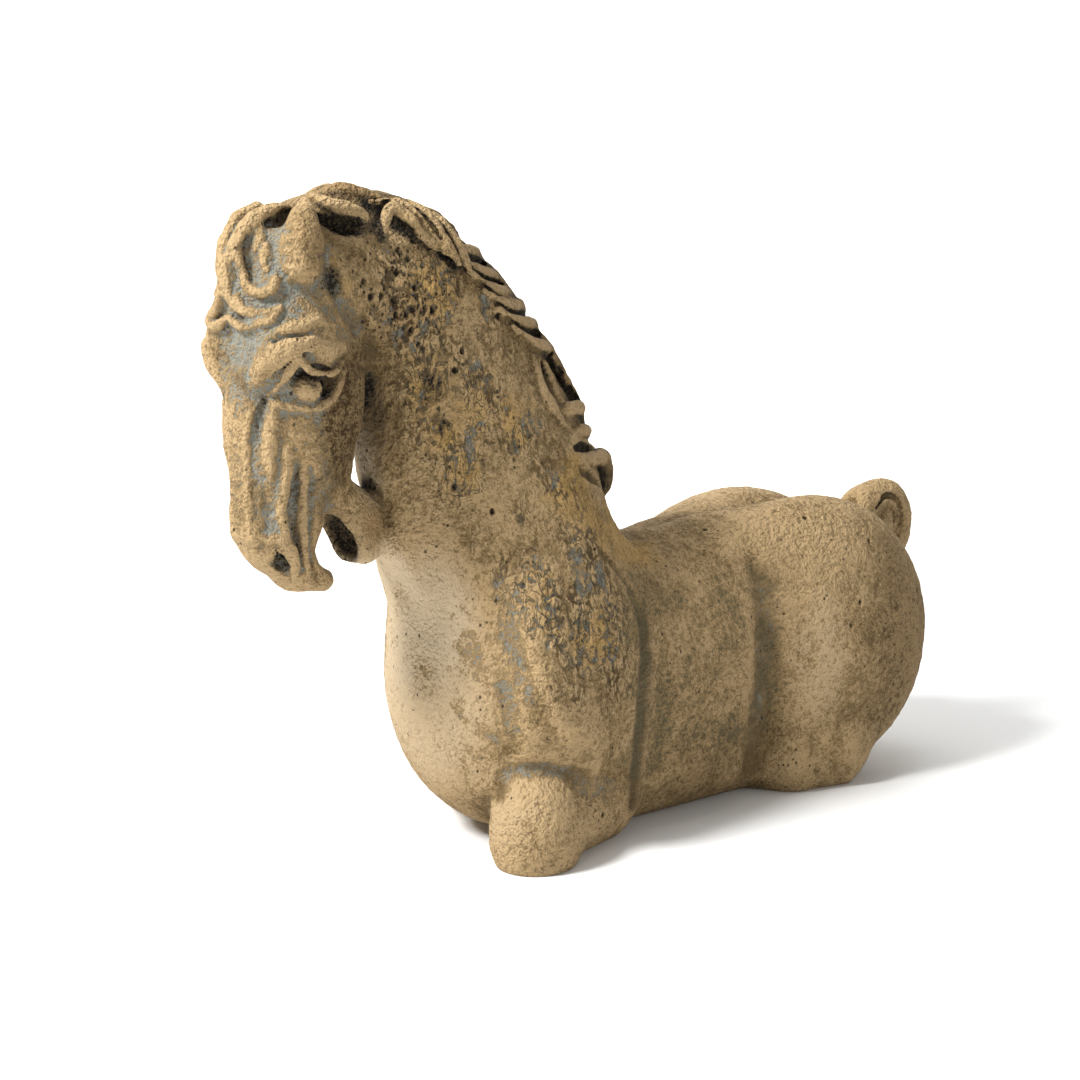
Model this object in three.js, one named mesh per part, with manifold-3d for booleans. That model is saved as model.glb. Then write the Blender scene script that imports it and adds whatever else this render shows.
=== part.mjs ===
// A Chinese tomb horse lying with its legs folded under it, cast in one piece.
// It is modelled like clay: strokes are added to and cut from a field of signed
// distances, the skin of that field is faceted, and the facets are thinned out.
// The horse faces -Y, its left side is +X, and it rests on the plane z = 0.
import * as THREE from 'three';
import { mergeVertices } from 'three/addons/utils/BufferGeometryUtils.js';
import Module from 'manifold-3d';

// Driving dimensions in millimetres: from the ground to the highest lock of the mane,
// from the brow to the curl of the tail, and across the haunches and the near knee
const height = 320;
const length = 474;
const width = 147;

// Every form below is laid out in shares of a figure that is 100 high: these are its
// length and its width in the same shares
const lengthShare = 148.1;
const widthShare = 45.95;

// Fineness of the faceting: grid spacing in units, and the facets that are kept
const gridStep = 0.85;
const facetBudget = 9300;

// The head hangs from the poll and is turned a little to the horse's left
const headTurn = THREE.MathUtils.degToRad(10);
const headPivotY = -55;
const headCos = Math.cos(headTurn);
const headSin = Math.sin(headTurn);

// The middle of the length, where the origin of the finished part is set
const middleY = -1.95;

const lengthOf = (x, y, z) => Math.sqrt(x * x + y * y + z * z);

// Strokes: each has a centre and a reach, which bound it, and a distance function
function makeLump(centre, radii, tilt = 0) {
  const [cx, cy, cz] = centre;
  const [rx, ry, rz] = radii;
  const angle = THREE.MathUtils.degToRad(tilt);
  const c = Math.cos(angle);
  const s = Math.sin(angle);
  const distance = (x, y, z) => {
    const dx = x - cx;
    const dy = (y - cy) * c + (z - cz) * s;
    const dz = (z - cz) * c - (y - cy) * s;
    const near = lengthOf(dx / rx, dy / ry, dz / rz);
    const slope = lengthOf(dx / (rx * rx), dy / (ry * ry), dz / (rz * rz));
    return slope < 1e-9 ? -Math.min(rx, ry, rz) : (near * (near - 1)) / slope;
  };
  return { centre, reach: Math.max(rx, ry, rz), distance };
}

function makeBlock(centre, halves, rounding, tilt = 0) {
  const [cx, cy, cz] = centre;
  const [hx, hy, hz] = halves.map((half) => half - rounding);
  const angle = THREE.MathUtils.degToRad(tilt);
  const c = Math.cos(angle);
  const s = Math.sin(angle);
  const distance = (x, y, z) => {
    const dy = (y - cy) * c + (z - cz) * s;
    const dz = (z - cz) * c - (y - cy) * s;
    const ox = Math.abs(x - cx) - hx;
    const oy = Math.abs(dy) - hy;
    const oz = Math.abs(dz) - hz;
    const outside = lengthOf(Math.max(ox, 0), Math.max(oy, 0), Math.max(oz, 0));
    return outside + Math.min(Math.max(ox, oy, oz), 0) - rounding;
  };
  return { centre, reach: lengthOf(...halves), distance };
}

function coneDistance(x, y, z, a, b, ra, rb) {
  const bx = b[0] - a[0];
  const by = b[1] - a[1];
  const bz = b[2] - a[2];
  const px = x - a[0];
  const py = y - a[1];
  const pz = z - a[2];
  const along = (px * bx + py * by + pz * bz) / (bx * bx + by * by + bz * bz);
  const t = Math.min(1, Math.max(0, along));
  return lengthOf(px - bx * t, py - by * t, pz - bz * t) - (ra + (rb - ra) * t);
}

function makeLimb(a, ra, b, rb) {
  const centre = a.map((value, axis) => (value + b[axis]) / 2);
  const reach = lengthOf(b[0] - a[0], b[1] - a[1], b[2] - a[2]) / 2 + Math.max(ra, rb);
  return { centre, reach, distance: (x, y, z) => coneDistance(x, y, z, a, b, ra, rb) };
}

// A lock of hair, a lid, a vein or a groove: a tapering cord along a smooth curve
function makeCord(points, radii, pieces = 3 * (points.length - 1)) {
  const curve = new THREE.CatmullRomCurve3(points.map((p) => new THREE.Vector3(...p)));
  const knots = curve.getPoints(pieces).map((p) => p.toArray());
  const thickness = knots.map((_, i) => {
    const s = (i / pieces) * (radii.length - 1);
    const k = Math.min(Math.floor(s), radii.length - 2);
    return radii[k] + (radii[k + 1] - radii[k]) * (s - k);
  });
  const box = new THREE.Box3().setFromPoints(knots.map((p) => new THREE.Vector3(...p)));
  const centre = box.getCenter(new THREE.Vector3()).toArray();
  const reach = box.getSize(new THREE.Vector3()).length() / 2 + Math.max(...radii);
  const distance = (x, y, z) => {
    let best = Infinity;
    for (let i = 0; i < pieces; i += 1) {
      const d = coneDistance(x, y, z, knots[i], knots[i + 1], thickness[i], thickness[i + 1]);
      best = Math.min(best, d);
    }
    return best;
  };
  return { centre, reach, distance };
}

// The sculpture is an ordered list of strokes
const strokes = [];
const add = (stroke, soft, inHead = false) => strokes.push({ ...stroke, soft, inHead, cut: false });
const cut = (stroke, soft, inHead = false) => strokes.push({ ...stroke, soft, inHead, cut: true });
const addHead = (stroke, soft) => add(stroke, soft, true);
const cutHead = (stroke, soft) => cut(stroke, soft, true);
const sides = [1, -1];

function shapeTrunk() {
  add(makeLump([0, 8, 25], [17, 42, 21.5]), 0);
  add(makeBlock([0, 3, 19.2], [16.5, 31, 20.2], 12.2), 4);
  add(makeLump([0, -23.2, 26], [19.5, 23, 26]), 6);
}

function shapeHaunches() {
  add(makeLump([0, 20, 29.5], [14, 26, 19]), 5);
  add(makeLump([0, 37, 28.5], [12, 20, 20]), 4);
  for (const side of sides) {
    add(makeLump([side * 8.5, 29, 36], [9.5, 21, 13.7]), 4);
    add(makeLump([side * 9.5, 37.3, 24.6], [13.5, 23.7, 24.4]), 5);
    add(makeLimb([side * 12.8, 33, 6], 8.7, [side * 12.6, 26, 4.4], 6.4), 4.5);
  }
}

function shapeShoulders() {
  for (const side of sides) {
    add(makeLump([side * 10.5, -27, 27], [10.5, 13.5, 25]), 3);
  }
}

function shapeNeck() {
  add(makeLump([0, -27, 45], [15, 18, 20]), 7);
  add(makeLump([0, -32.6, 60], [12.5, 19.4, 17]), 7);
  add(makeLump([0, -37.6, 50.6], [9, 12.4, 9.2]), 4);
  for (const side of sides) add(makeLump([side * 4.3, -38.5, 44.5], [5.2, 7.8, 8]), 3);
  add(makeLump([0, headPivotY + 16, 76], [10, 15.5, 16], 20), 7);
  add(makeLump([0, headPivotY + 6, 86], [9, 12, 10]), 6);
}

function shapeForelegs() {
  add(makeLimb([14.8, -31, 5.5], 6.6, [11.4, -17.8, 5.5], 6.5), 3);
  add(makeLump([16.1, -33, 4.8], [6.8, 7.2, 9.4]), 2);
  add(makeLimb([-10.5, -22, 5.5], 6.5, [-10.5, -14, 5.5], 6.5), 4);
}

function shapeTail() {
  const curl = [[0, 54, 43.6], [0, 60.2, 46.7], [0, 65.8, 47.2], [0, 69, 43.3], [0, 68, 38], [0, 65, 36.4]];
  add(makeCord(curl, [3.9, 3.5, 3.2, 3, 2.8, 2.4]), 2);
  add(makeLump([0, 64, 42.4], [2.8, 3.8, 4.6]), 1.5);
  for (const side of sides) {
    cut(makeCord([[side * 3.3, 59, 43], [side * 3.6, 61.2, 46], [side * 3.5, 65, 46.6],
      [side * 3.1, 67, 44.4], [side * 2.9, 67.2, 41]], [0.5, 0.7, 0.7, 0.5]), 0.7);
    cut(makeCord([[side * 2.9, 61.8, 40.8], [side * 3, 62.4, 43.6], [side * 3, 64.6, 44.4],
      [side * 2.8, 66, 42.6], [side * 2.7, 65.4, 40]], [0.5, 0.7, 0.7, 0.5]), 0.7);
  }
}

// Folds of skin over the muscles, each a soft groove or ridge along the body
function carveBody() {
  cut(makeCord([[0, 4, 48.4], [0, 20, 50], [0, 40, 50.2], [0, 54, 46]], [0.6, 1.4, 1.6, 1.4]), 3.5);
  for (const side of sides) {
    cut(makeCord([[side * 22, 18, 40], [side * 23, 17.5, 28], [side * 22.4, 17, 18], [side * 21, 13, 7]],
      [2, 4, 4, 3]), 6);
    cut(makeCord([[side * 16.6, -14, 51], [side * 19.4, -10.5, 41], [side * 21, -8.6, 32],
      [side * 21, -8.6, 25], [side * 19.6, -9, 11]], [1.4, 2.8, 3, 2.8]), 2.5);
    cut(makeCord([[side * 18.6, -42.6, 40], [side * 18.4, -40.6, 28], [side * 17, -41.2, 19],
      [side * 14, -40.8, 12]], [0.8, 2.4, 2.6, 2]), 2);
  }
  add(makeCord([[16.6, -33.4, 42], [18.6, -32, 31], [19.2, -27.6, 22], [18.2, -25.5, 16]],
    [0.6, 1.5, 1.5, 0.6]), 5);
  cut(makeCord([[13, -39.2, 11.5], [15.5, -37.6, 14.8], [18.8, -33.4, 15.2], [20.2, -26.6, 13],
    [19.6, -20.4, 8.4]], [0.8, 1, 0.9, 0.6]), 1.2);
}

function shapeSkull() {
  addHead(makeLump([0, -8.5, 84], [8.5, 11.5, 12]), 5);
  addHead(makeLump([0, -11, 68], [7, 8.5, 13]), 4);
  addHead(makeLump([0, -12, 55], [5.3, 6.2, 9]), 3);
  addHead(makeBlock([0, -15.9, 62.8], [2.9, 3.5, 12], 1.4, -0.5), 1.5);
  addHead(makeLimb([0, -15, 51.2], 3.3, [0, -9.8, 46.6], 2.7), 2);
  addHead(makeLump([0, -13.8, 50.2], [4.7, 3.6, 4.2], 38), 1.5);
  for (const side of sides) {
    addHead(makeLump([side * 5.4, -13.2, 77.2], [4.6, 5.8, 5.6]), 4);
    addHead(makeLump([side * 3.8, -8.1, 69], [4.5, 7, 11], -14), 2.5);
  }
}

// The lower jaw hangs open against the throat, and its lip is scooped out like a cup
function shapeJaw() {
  for (const side of sides) {
    addHead(makeLump([side * 2.4, -5.5, 61.5], [3, 3.8, 5]), 2);
  }
  addHead(makeLimb([0, -4.6, 58], 3.3, [0, 1.2, 53.2], 3.1), 2);
  addHead(makeBlock([0, 1.1, 50.7], [3.9, 3.4, 4.9], 2.5, 32), 2);
  cutHead(makeLump([0, -2, 49.9], [3, 3.2, 4.2], 32), 0.5);
  addHead(makeLimb([0, -10.4, 46], 2.7, [0, -5.2, 44.1], 1.7), 2);
  cutHead(makeLimb([-6, -4.7, 50.8], 1.1, [6, -4.7, 50.8], 1.1), 0.8);
}

// The brow, the lids and the eyeball in its socket
function carveEyes() {
  for (const side of sides) {
    addHead(makeCord([[side * 3.9, -18.4, 72], [side * 6.4, -18.7, 76], [side * 7.6, -18, 78.8],
      [side * 9.4, -15.2, 79], [side * 9.4, -12, 78.5], [side * 8.4, -8.5, 77.5]], [0.9, 1.5, 1.6, 1.6, 1.3, 0.8]), 2);
    cutHead(makeLump([side * 9.2, -13.4, 73], [2.6, 3.8, 2.2]), 1.5);
    addHead(makeLump([side * 7.2, -13.6, 72.4], [1.9, 2.1, 1.9]), 0.5);
    addHead(makeCord([[side * 4.6, -17.8, 70.8], [side * 7, -17, 73.4], [side * 9, -15.2, 75.4],
      [side * 9.2, -12.4, 74.8], [side * 8.4, -8.2, 75]], [0.6, 0.9, 0.9, 0.7, 0.4]), 0.8);
    addHead(makeCord([[side * 4.8, -17.4, 70.4], [side * 7, -15.4, 69.9], [side * 8, -12.6, 70.2],
      [side * 8.3, -9.4, 72]], [0.4, 0.7, 0.7, 0.4]), 0.8);
  }
}

// The flat bridge of the nose, the folds beside it, the lips and the nostrils
function carveMuzzle() {
  for (const side of sides) {
    cutHead(makeCord([[side * 4.2, -18.4, 71.5], [side * 3.7, -19, 65], [side * 3.5, -19, 57],
      [side * 3.4, -18.4, 52.8]], [0.6, 1, 1, 0.6]), 0.8);
    addHead(makeCord([[side * 5.4, -16.6, 69.5], [side * 4.9, -16.9, 65], [side * 4.5, -16.2, 59.6],
      [side * 4.4, -14.9, 54]], [0.5, 0.9, 0.9, 0.6]), 1);
    cutHead(makeCord([[side * 6.6, -14.4, 63.5], [side * 5.9, -13.3, 57], [side * 4.6, -11.8, 49.2]],
      [0.5, 1, 0.9]), 0.8);
    cutHead(makeCord([[side * 6.6, -11.8, 59.5], [side * 5.6, -10.6, 54], [side * 3.8, -8.4, 47]],
      [0.5, 0.9, 0.8]), 0.8);
    addHead(makeCord([[side * 3.2, -17.2, 51], [side * 4.2, -15.6, 51.6], [side * 4.3, -13.6, 49.4],
      [side * 3.2, -12, 46.6]], [0.5, 0.8, 0.8, 0.5]), 0.8);
    cutHead(makeCord([[side * 3.9, -15.9, 50], [side * 3.3, -14.4, 48], [side * 2.8, -13.4, 46.4]],
      [0.7, 1, 0.6]), 0.5);
  }
}

// Deep creases: between cheek and neck, and behind each ear
function carveCreases() {
  for (const side of sides) {
    cutHead(makeCord([[side * 8.6, -9.2, 87], [side * 9, -7, 82.5], [side * 8.4, -4, 80],
      [side * 7.4, -1.2, 77.5], [side * 6.8, 1, 74]], [0.9, 1.1, 1, 1.1, 0.6]), 1.4);
    cutHead(makeCord([[side * 6.2, -8.8, 93], [side * 7, -6, 92.2], [side * 7.2, -3.4, 92.4],
      [side * 7, -1.4, 92.8]], [1, 1.3, 1.2, 0.8]), 0.8);
    cutHead(makeLump([side * 4.2, -19.6, 88.5], [2.6, 2, 4]), 1.2);
  }
}

// The right ear is laid a little further back than the left
function shapeEars() {
  addHead(makeLimb([7.2, -13.2, 89.5], 3.3, [5.4, -11.8, 95.9], 1.4), 0.6);
  addHead(makeLimb([-7.1, -12.5, 89.2], 3.2, [-5.2, -10.4, 96.1], 1.4), 0.6);
}

// The forelock falls over the brow in curling locks that hook back at their ends
function shapeForelock() {
  addHead(makeLump([0, -12, 87.6], [5.2, 7.1, 7], -20), 3);
  addHead(makeLump([0, -3, 93.5], [5.5, 8, 5]), 3);
}

function carveForelock() {
  for (const side of sides) {
    addHead(makeCord([[side * 1.1, -9, 96.6], [side * 2.2, -13, 94.9], [side * 2.8, -15.8, 92.9],
      [side * 2, -18.1, 91.2]], [1, 1.5, 1.4, 1.1]), 0.8);
    addHead(makeCord([[side * 2, -17.8, 92], [side * 1, -19.4, 90], [side * 0.8, -19.9, 87],
      [side * 1.6, -19.6, 83.5], [side * 3.8, -19.2, 81.4], [side * 6.4, -18.1, 81.8],
      [side * 7.5, -16.4, 83.4]], [1.2, 1.2, 1.1, 0.9, 0.6]), 0.8);
    const back = side < 0 ? 0.5 : 0;
    addHead(makeCord([[side * 3, back - 18.9, 91], [side * 3, back - 19.5, 88.8], [side * 4, back - 19.2, 86.4],
      [side * 5.2, back - 18.6, 84.8], [side * 6.6, back - 17.2, 85.2], [side * 6.8, back - 16.6, 86.6]],
    [0.9, 0.9, 0.8, 0.6]), 0.6);
  }
  addHead(makeCord([[-3.5, -19.8, 84], [-1, -19.9, 81.2], [2.5, -19.6, 79.4], [6.2, -18.5, 79.6],
    [8.2, -16.2, 81.6]], [0.7, 1, 1, 0.9, 0.5]), 0.8);
}

// The mane is a ridge along the crest, with locks that roll over it to the right side
const crestPoints = [[0, headPivotY, 96.4], [0, headPivotY + 8, 95.6], [0, headPivotY + 14.4, 92.8],
  [0, headPivotY + 21, 87], [0, -25.2, 78.5], [0, -18, 69], [0, -13, 60], [0, -8.5, 55]];
const crestCurve = new THREE.CatmullRomCurve3(crestPoints.map((p) => new THREE.Vector3(...p)));
const lockCount = 17;

function shapeMane() {
  add(makeCord(crestPoints, [3.2, 3.2, 2.8, 2.5, 2.3]), 2.5);
}

// One lock: it leaves the near edge of the mane, sweeps down and back as it climbs to
// the crest, and rolls over it to the other side, always on the skin of the neck
function pathOfLock(start, sweep, steps) {
  const nearEdge = 7.4;
  const width = 9.8 + 1.5 * start;
  const points = [];
  for (let step = 0; step <= steps; step += 1) {
    const s = step / steps;
    const across = Math.cos(Math.PI * s ** 1.5);
    const place = crestCurve.getPointAt(Math.min(1, start + sweep * s));
    const run = crestCurve.getTangentAt(Math.min(1, start + sweep * s));
    const x = across * nearEdge;
    const lift = Math.min(1.5 + 3.5 * start, 2.4 - 1.7 * start);
    const rise = lift - 12 * (1 - Math.sqrt(1 - (x / width) ** 2));
    points.push([x, place.y - run.z * rise, place.z + run.y * rise]);
  }
  return points;
}

function carveMane() {
  for (let i = 0; i < lockCount; i += 1) {
    const start = 0.04 + (0.81 * i) / lockCount;
    const sweep = 0.17 + 0.03 * Math.sin(1.7 * i);
    const swell = 1.35 + 0.25 * Math.sin(2.3 * i);
    add(makeCord(pathOfLock(start, sweep, 6), [0.8, swell, swell, swell, 0.7], 8), 0.6);
  }
  for (const side of sides) {
    add(makeCord([[side * 1.2, -61, 96.6], [side * 1.8, -56.4, 98.5], [side * 2.6, -51, 97.1], [side * 4.2, -46.5, 95],
      [side * 6.8, -43, 90.8]], [1, 1.5, 1.5, 1.4, 0.8]), 0.7);
    add(makeCord([[side * 0.5, -50, 97], [side * 3.4, -43.5, 94.6], [side * 6.4, -39.5, 90],
      [side * 8.6, -37, 85.8]], [1, 1.5, 1.4, 0.8]), 0.7);
    add(makeCord([[side * 3, -59.5, 96.4], [side * 5.6, -56, 95.6], [side * 6.9, -51.4, 94.8],
      [side * 7, -48, 93.2]], [0.9, 1.3, 1.3, 0.7]), 0.6);
    add(makeCord([[side * 3.6, -49, 96.4], [side * 6.2, -46, 94.6], [side * 8.2, -43.6, 91.4],
      [side * 8.8, -42, 88.4]], [0.9, 1.3, 1.2, 0.7]), 0.6);
    cut(makeLump([side * 8, -46.6, 91.2], [1.6, 1.9, 1.4]), 0.5);
  }
  add(makeCord([[3.4, -14.2, 61.4], [2.8, -11, 59.2], [1.6, -8.4, 57.2], [0.6, -8, 54.6], [0.4, -9.6, 52.2]],
    [1.1, 1.6, 2, 1.7, 0.9]), 0.8);
  add(makeCord([[-3, -13, 61.6], [-1.6, -9, 59.6], [-0.6, -7.4, 57], [-1.4, -8.2, 54], [-1.6, -9.8, 52]],
    [1.2, 1.6, 1.6, 1.4, 0.9]), 0.8);
}

shapeTrunk();
shapeHaunches();
shapeShoulders();
shapeNeck();
shapeForelegs();
shapeTail();
carveBody();
shapeSkull();
shapeJaw();
shapeForelock();
shapeMane();
carveCreases();
shapeEars();
carveEyes();
carveMuzzle();
carveForelock();
carveMane();

// The field: strokes are blended one after another, in the order they were laid.
// The legs end a little under the ground, where they are cut off flat at the end.
const farOutside = 1e3;
const soleDepth = -1.5;

function fieldAt(x, y, z, list) {
  const hx = x * headCos + (y - headPivotY) * headSin;
  const hy = (y - headPivotY) * headCos - x * headSin;
  let value = farOutside;
  for (const stroke of list) {
    const d = stroke.inHead ? stroke.distance(hx, hy, z) : stroke.distance(x, y, z);
    const k = stroke.soft;
    if (stroke.cut) {
      const blend = k > 0 ? Math.max(k - Math.abs(value + d), 0) / k : 0;
      value = Math.max(value, -d) + (blend * blend * k) / 4;
    } else {
      const blend = k > 0 ? Math.max(k - Math.abs(value - d), 0) / k : 0;
      value = Math.min(value, d) - (blend * blend * k) / 4;
    }
  }
  return Math.max(value, soleDepth - z);
}

function strokeCentre(stroke) {
  const [x, y, z] = stroke.centre;
  if (!stroke.inHead) return stroke.centre;
  return [x * headCos - y * headSin, x * headSin + y * headCos + headPivotY, z];
}

// Faceting: only the blocks of the grid that the skin can pass through are sampled
const gridLow = [-27, headPivotY - 24, -3];
const gridHigh = [27, 79, 104];
const blockCells = 6;

function sampleField() {
  const counts = gridLow.map((low, axis) => {
    const blocks = Math.ceil((gridHigh[axis] - low) / (gridStep * blockCells));
    return blocks * blockCells + 1;
  });
  const [nx, ny, nz] = counts;
  const values = new Float32Array(nx * ny * nz).fill(farOutside);
  const live = [];
  const halfBlock = (blockCells * gridStep) / 2;
  const blockReach = halfBlock * Math.sqrt(3);
  const centres = strokes.map(strokeCentre);
  for (let bz = 0; bz < nz - 1; bz += blockCells) {
    for (let by = 0; by < ny - 1; by += blockCells) {
      for (let bx = 0; bx < nx - 1; bx += blockCells) {
        const cx = gridLow[0] + bx * gridStep + halfBlock;
        const cy = gridLow[1] + by * gridStep + halfBlock;
        const cz = gridLow[2] + bz * gridStep + halfBlock;
        const skin = fieldAt(cx, cy, cz, strokes);
        const inside = skin < -3 * blockReach;
        if (skin > 1.6 * blockReach || inside) {
          if (inside) fillBlock(values, counts, bx, by, bz);
          continue;
        }
        const list = strokes.filter((stroke, i) => {
          const [sx, sy, sz] = centres[i];
          const gap = lengthOf(cx - sx, cy - sy, cz - sz) - stroke.reach;
          return gap < blockReach + 2 + stroke.soft;
        });
        live.push([bx, by, bz]);
        for (let k = bz; k <= bz + blockCells; k += 1) {
          for (let j = by; j <= by + blockCells; j += 1) {
            for (let i = bx; i <= bx + blockCells; i += 1) {
              const x = gridLow[0] + i * gridStep;
              const y = gridLow[1] + j * gridStep;
              const z = gridLow[2] + k * gridStep;
              values[i + nx * (j + ny * k)] = fieldAt(x, y, z, list);
            }
          }
        }
      }
    }
  }
  return { values, counts, live };
}

function fillBlock(values, counts, bx, by, bz) {
  const [nx, ny] = counts;
  for (let k = bz; k <= bz + blockCells; k += 1) {
    for (let j = by; j <= by + blockCells; j += 1) {
      for (let i = bx; i <= bx + blockCells; i += 1) {
        const at = i + nx * (j + ny * k);
        if (values[at] === farOutside) values[at] = -farOutside;
      }
    }
  }
}

// Each grid cell is split into six tetrahedra, so the faceted skin is always closed
const cellTetrahedra = [[0, 5, 1, 6], [0, 1, 2, 6], [0, 2, 3, 6], [0, 3, 7, 6], [0, 7, 4, 6], [0, 4, 5, 6]];
const cellCorners = [[0, 0, 0], [1, 0, 0], [1, 1, 0], [0, 1, 0], [0, 0, 1], [1, 0, 1], [1, 1, 1], [0, 1, 1]];

function facetField({ values, counts, live }) {
  const [nx, ny] = counts;
  const positions = [];
  const triangles = [];
  const crossings = new Map();
  const total = values.length;
  const place = (at) => {
    const i = at % nx;
    const j = Math.floor(at / nx) % ny;
    const k = Math.floor(at / (nx * ny));
    return [gridLow[0] + i * gridStep, gridLow[1] + j * gridStep, gridLow[2] + k * gridStep];
  };
  const crossing = (a, b) => {
    const key = a < b ? a * total + b : b * total + a;
    let index = crossings.get(key);
    if (index === undefined) {
      const t = Math.min(0.92, Math.max(0.08, values[a] / (values[a] - values[b])));
      const pa = place(a);
      const pb = place(b);
      index = positions.length / 3;
      positions.push(...pa.map((value, axis) => value + (pb[axis] - value) * t));
      crossings.set(key, index);
    }
    return index;
  };
  for (const [bx, by, bz] of live) {
    for (let cell = 0; cell < blockCells ** 3; cell += 1) {
      const i = bx + (cell % blockCells);
      const j = by + (Math.floor(cell / blockCells) % blockCells);
      const k = bz + Math.floor(cell / (blockCells * blockCells));
      const corners = cellCorners.map(([a, b, c]) => i + a + nx * (j + b + ny * (k + c)));
      const full = corners.filter((at) => values[at] < 0).length;
      if (full === 0 || full === 8) continue;
      for (const tetrahedron of cellTetrahedra) {
        facetTetrahedron(tetrahedron.map((corner) => corners[corner]), values, crossing, triangles);
      }
    }
  }
  return { positions, triangles };
}

function facetTetrahedron(corners, values, crossing, triangles) {
  const solid = [0, 1, 2, 3].filter((n) => values[corners[n]] < 0);
  const empty = [0, 1, 2, 3].filter((n) => values[corners[n]] >= 0);
  if (solid.length === 0 || empty.length === 0) return;
  const edge = (a, b) => crossing(corners[a], corners[b]);
  const even = (order) => {
    let swaps = 0;
    for (let a = 0; a < 4; a += 1) {
      for (let b = a + 1; b < 4; b += 1) if (order[a] > order[b]) swaps += 1;
    }
    return swaps % 2 === 0;
  };
  const outward = even([...solid, ...empty]);
  const push = (a, b, c) => triangles.push(a, outward ? b : c, outward ? c : b);
  if (solid.length === 2) {
    const [a, b] = solid;
    const [c, d] = empty;
    push(edge(a, c), edge(a, d), edge(b, d));
    push(edge(a, c), edge(b, d), edge(b, c));
  } else if (solid.length === 1) {
    push(edge(solid[0], empty[0]), edge(solid[0], empty[1]), edge(solid[0], empty[2]));
  } else {
    push(edge(solid[0], empty[0]), edge(solid[1], empty[0]), edge(solid[2], empty[0]));
  }
}

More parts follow.
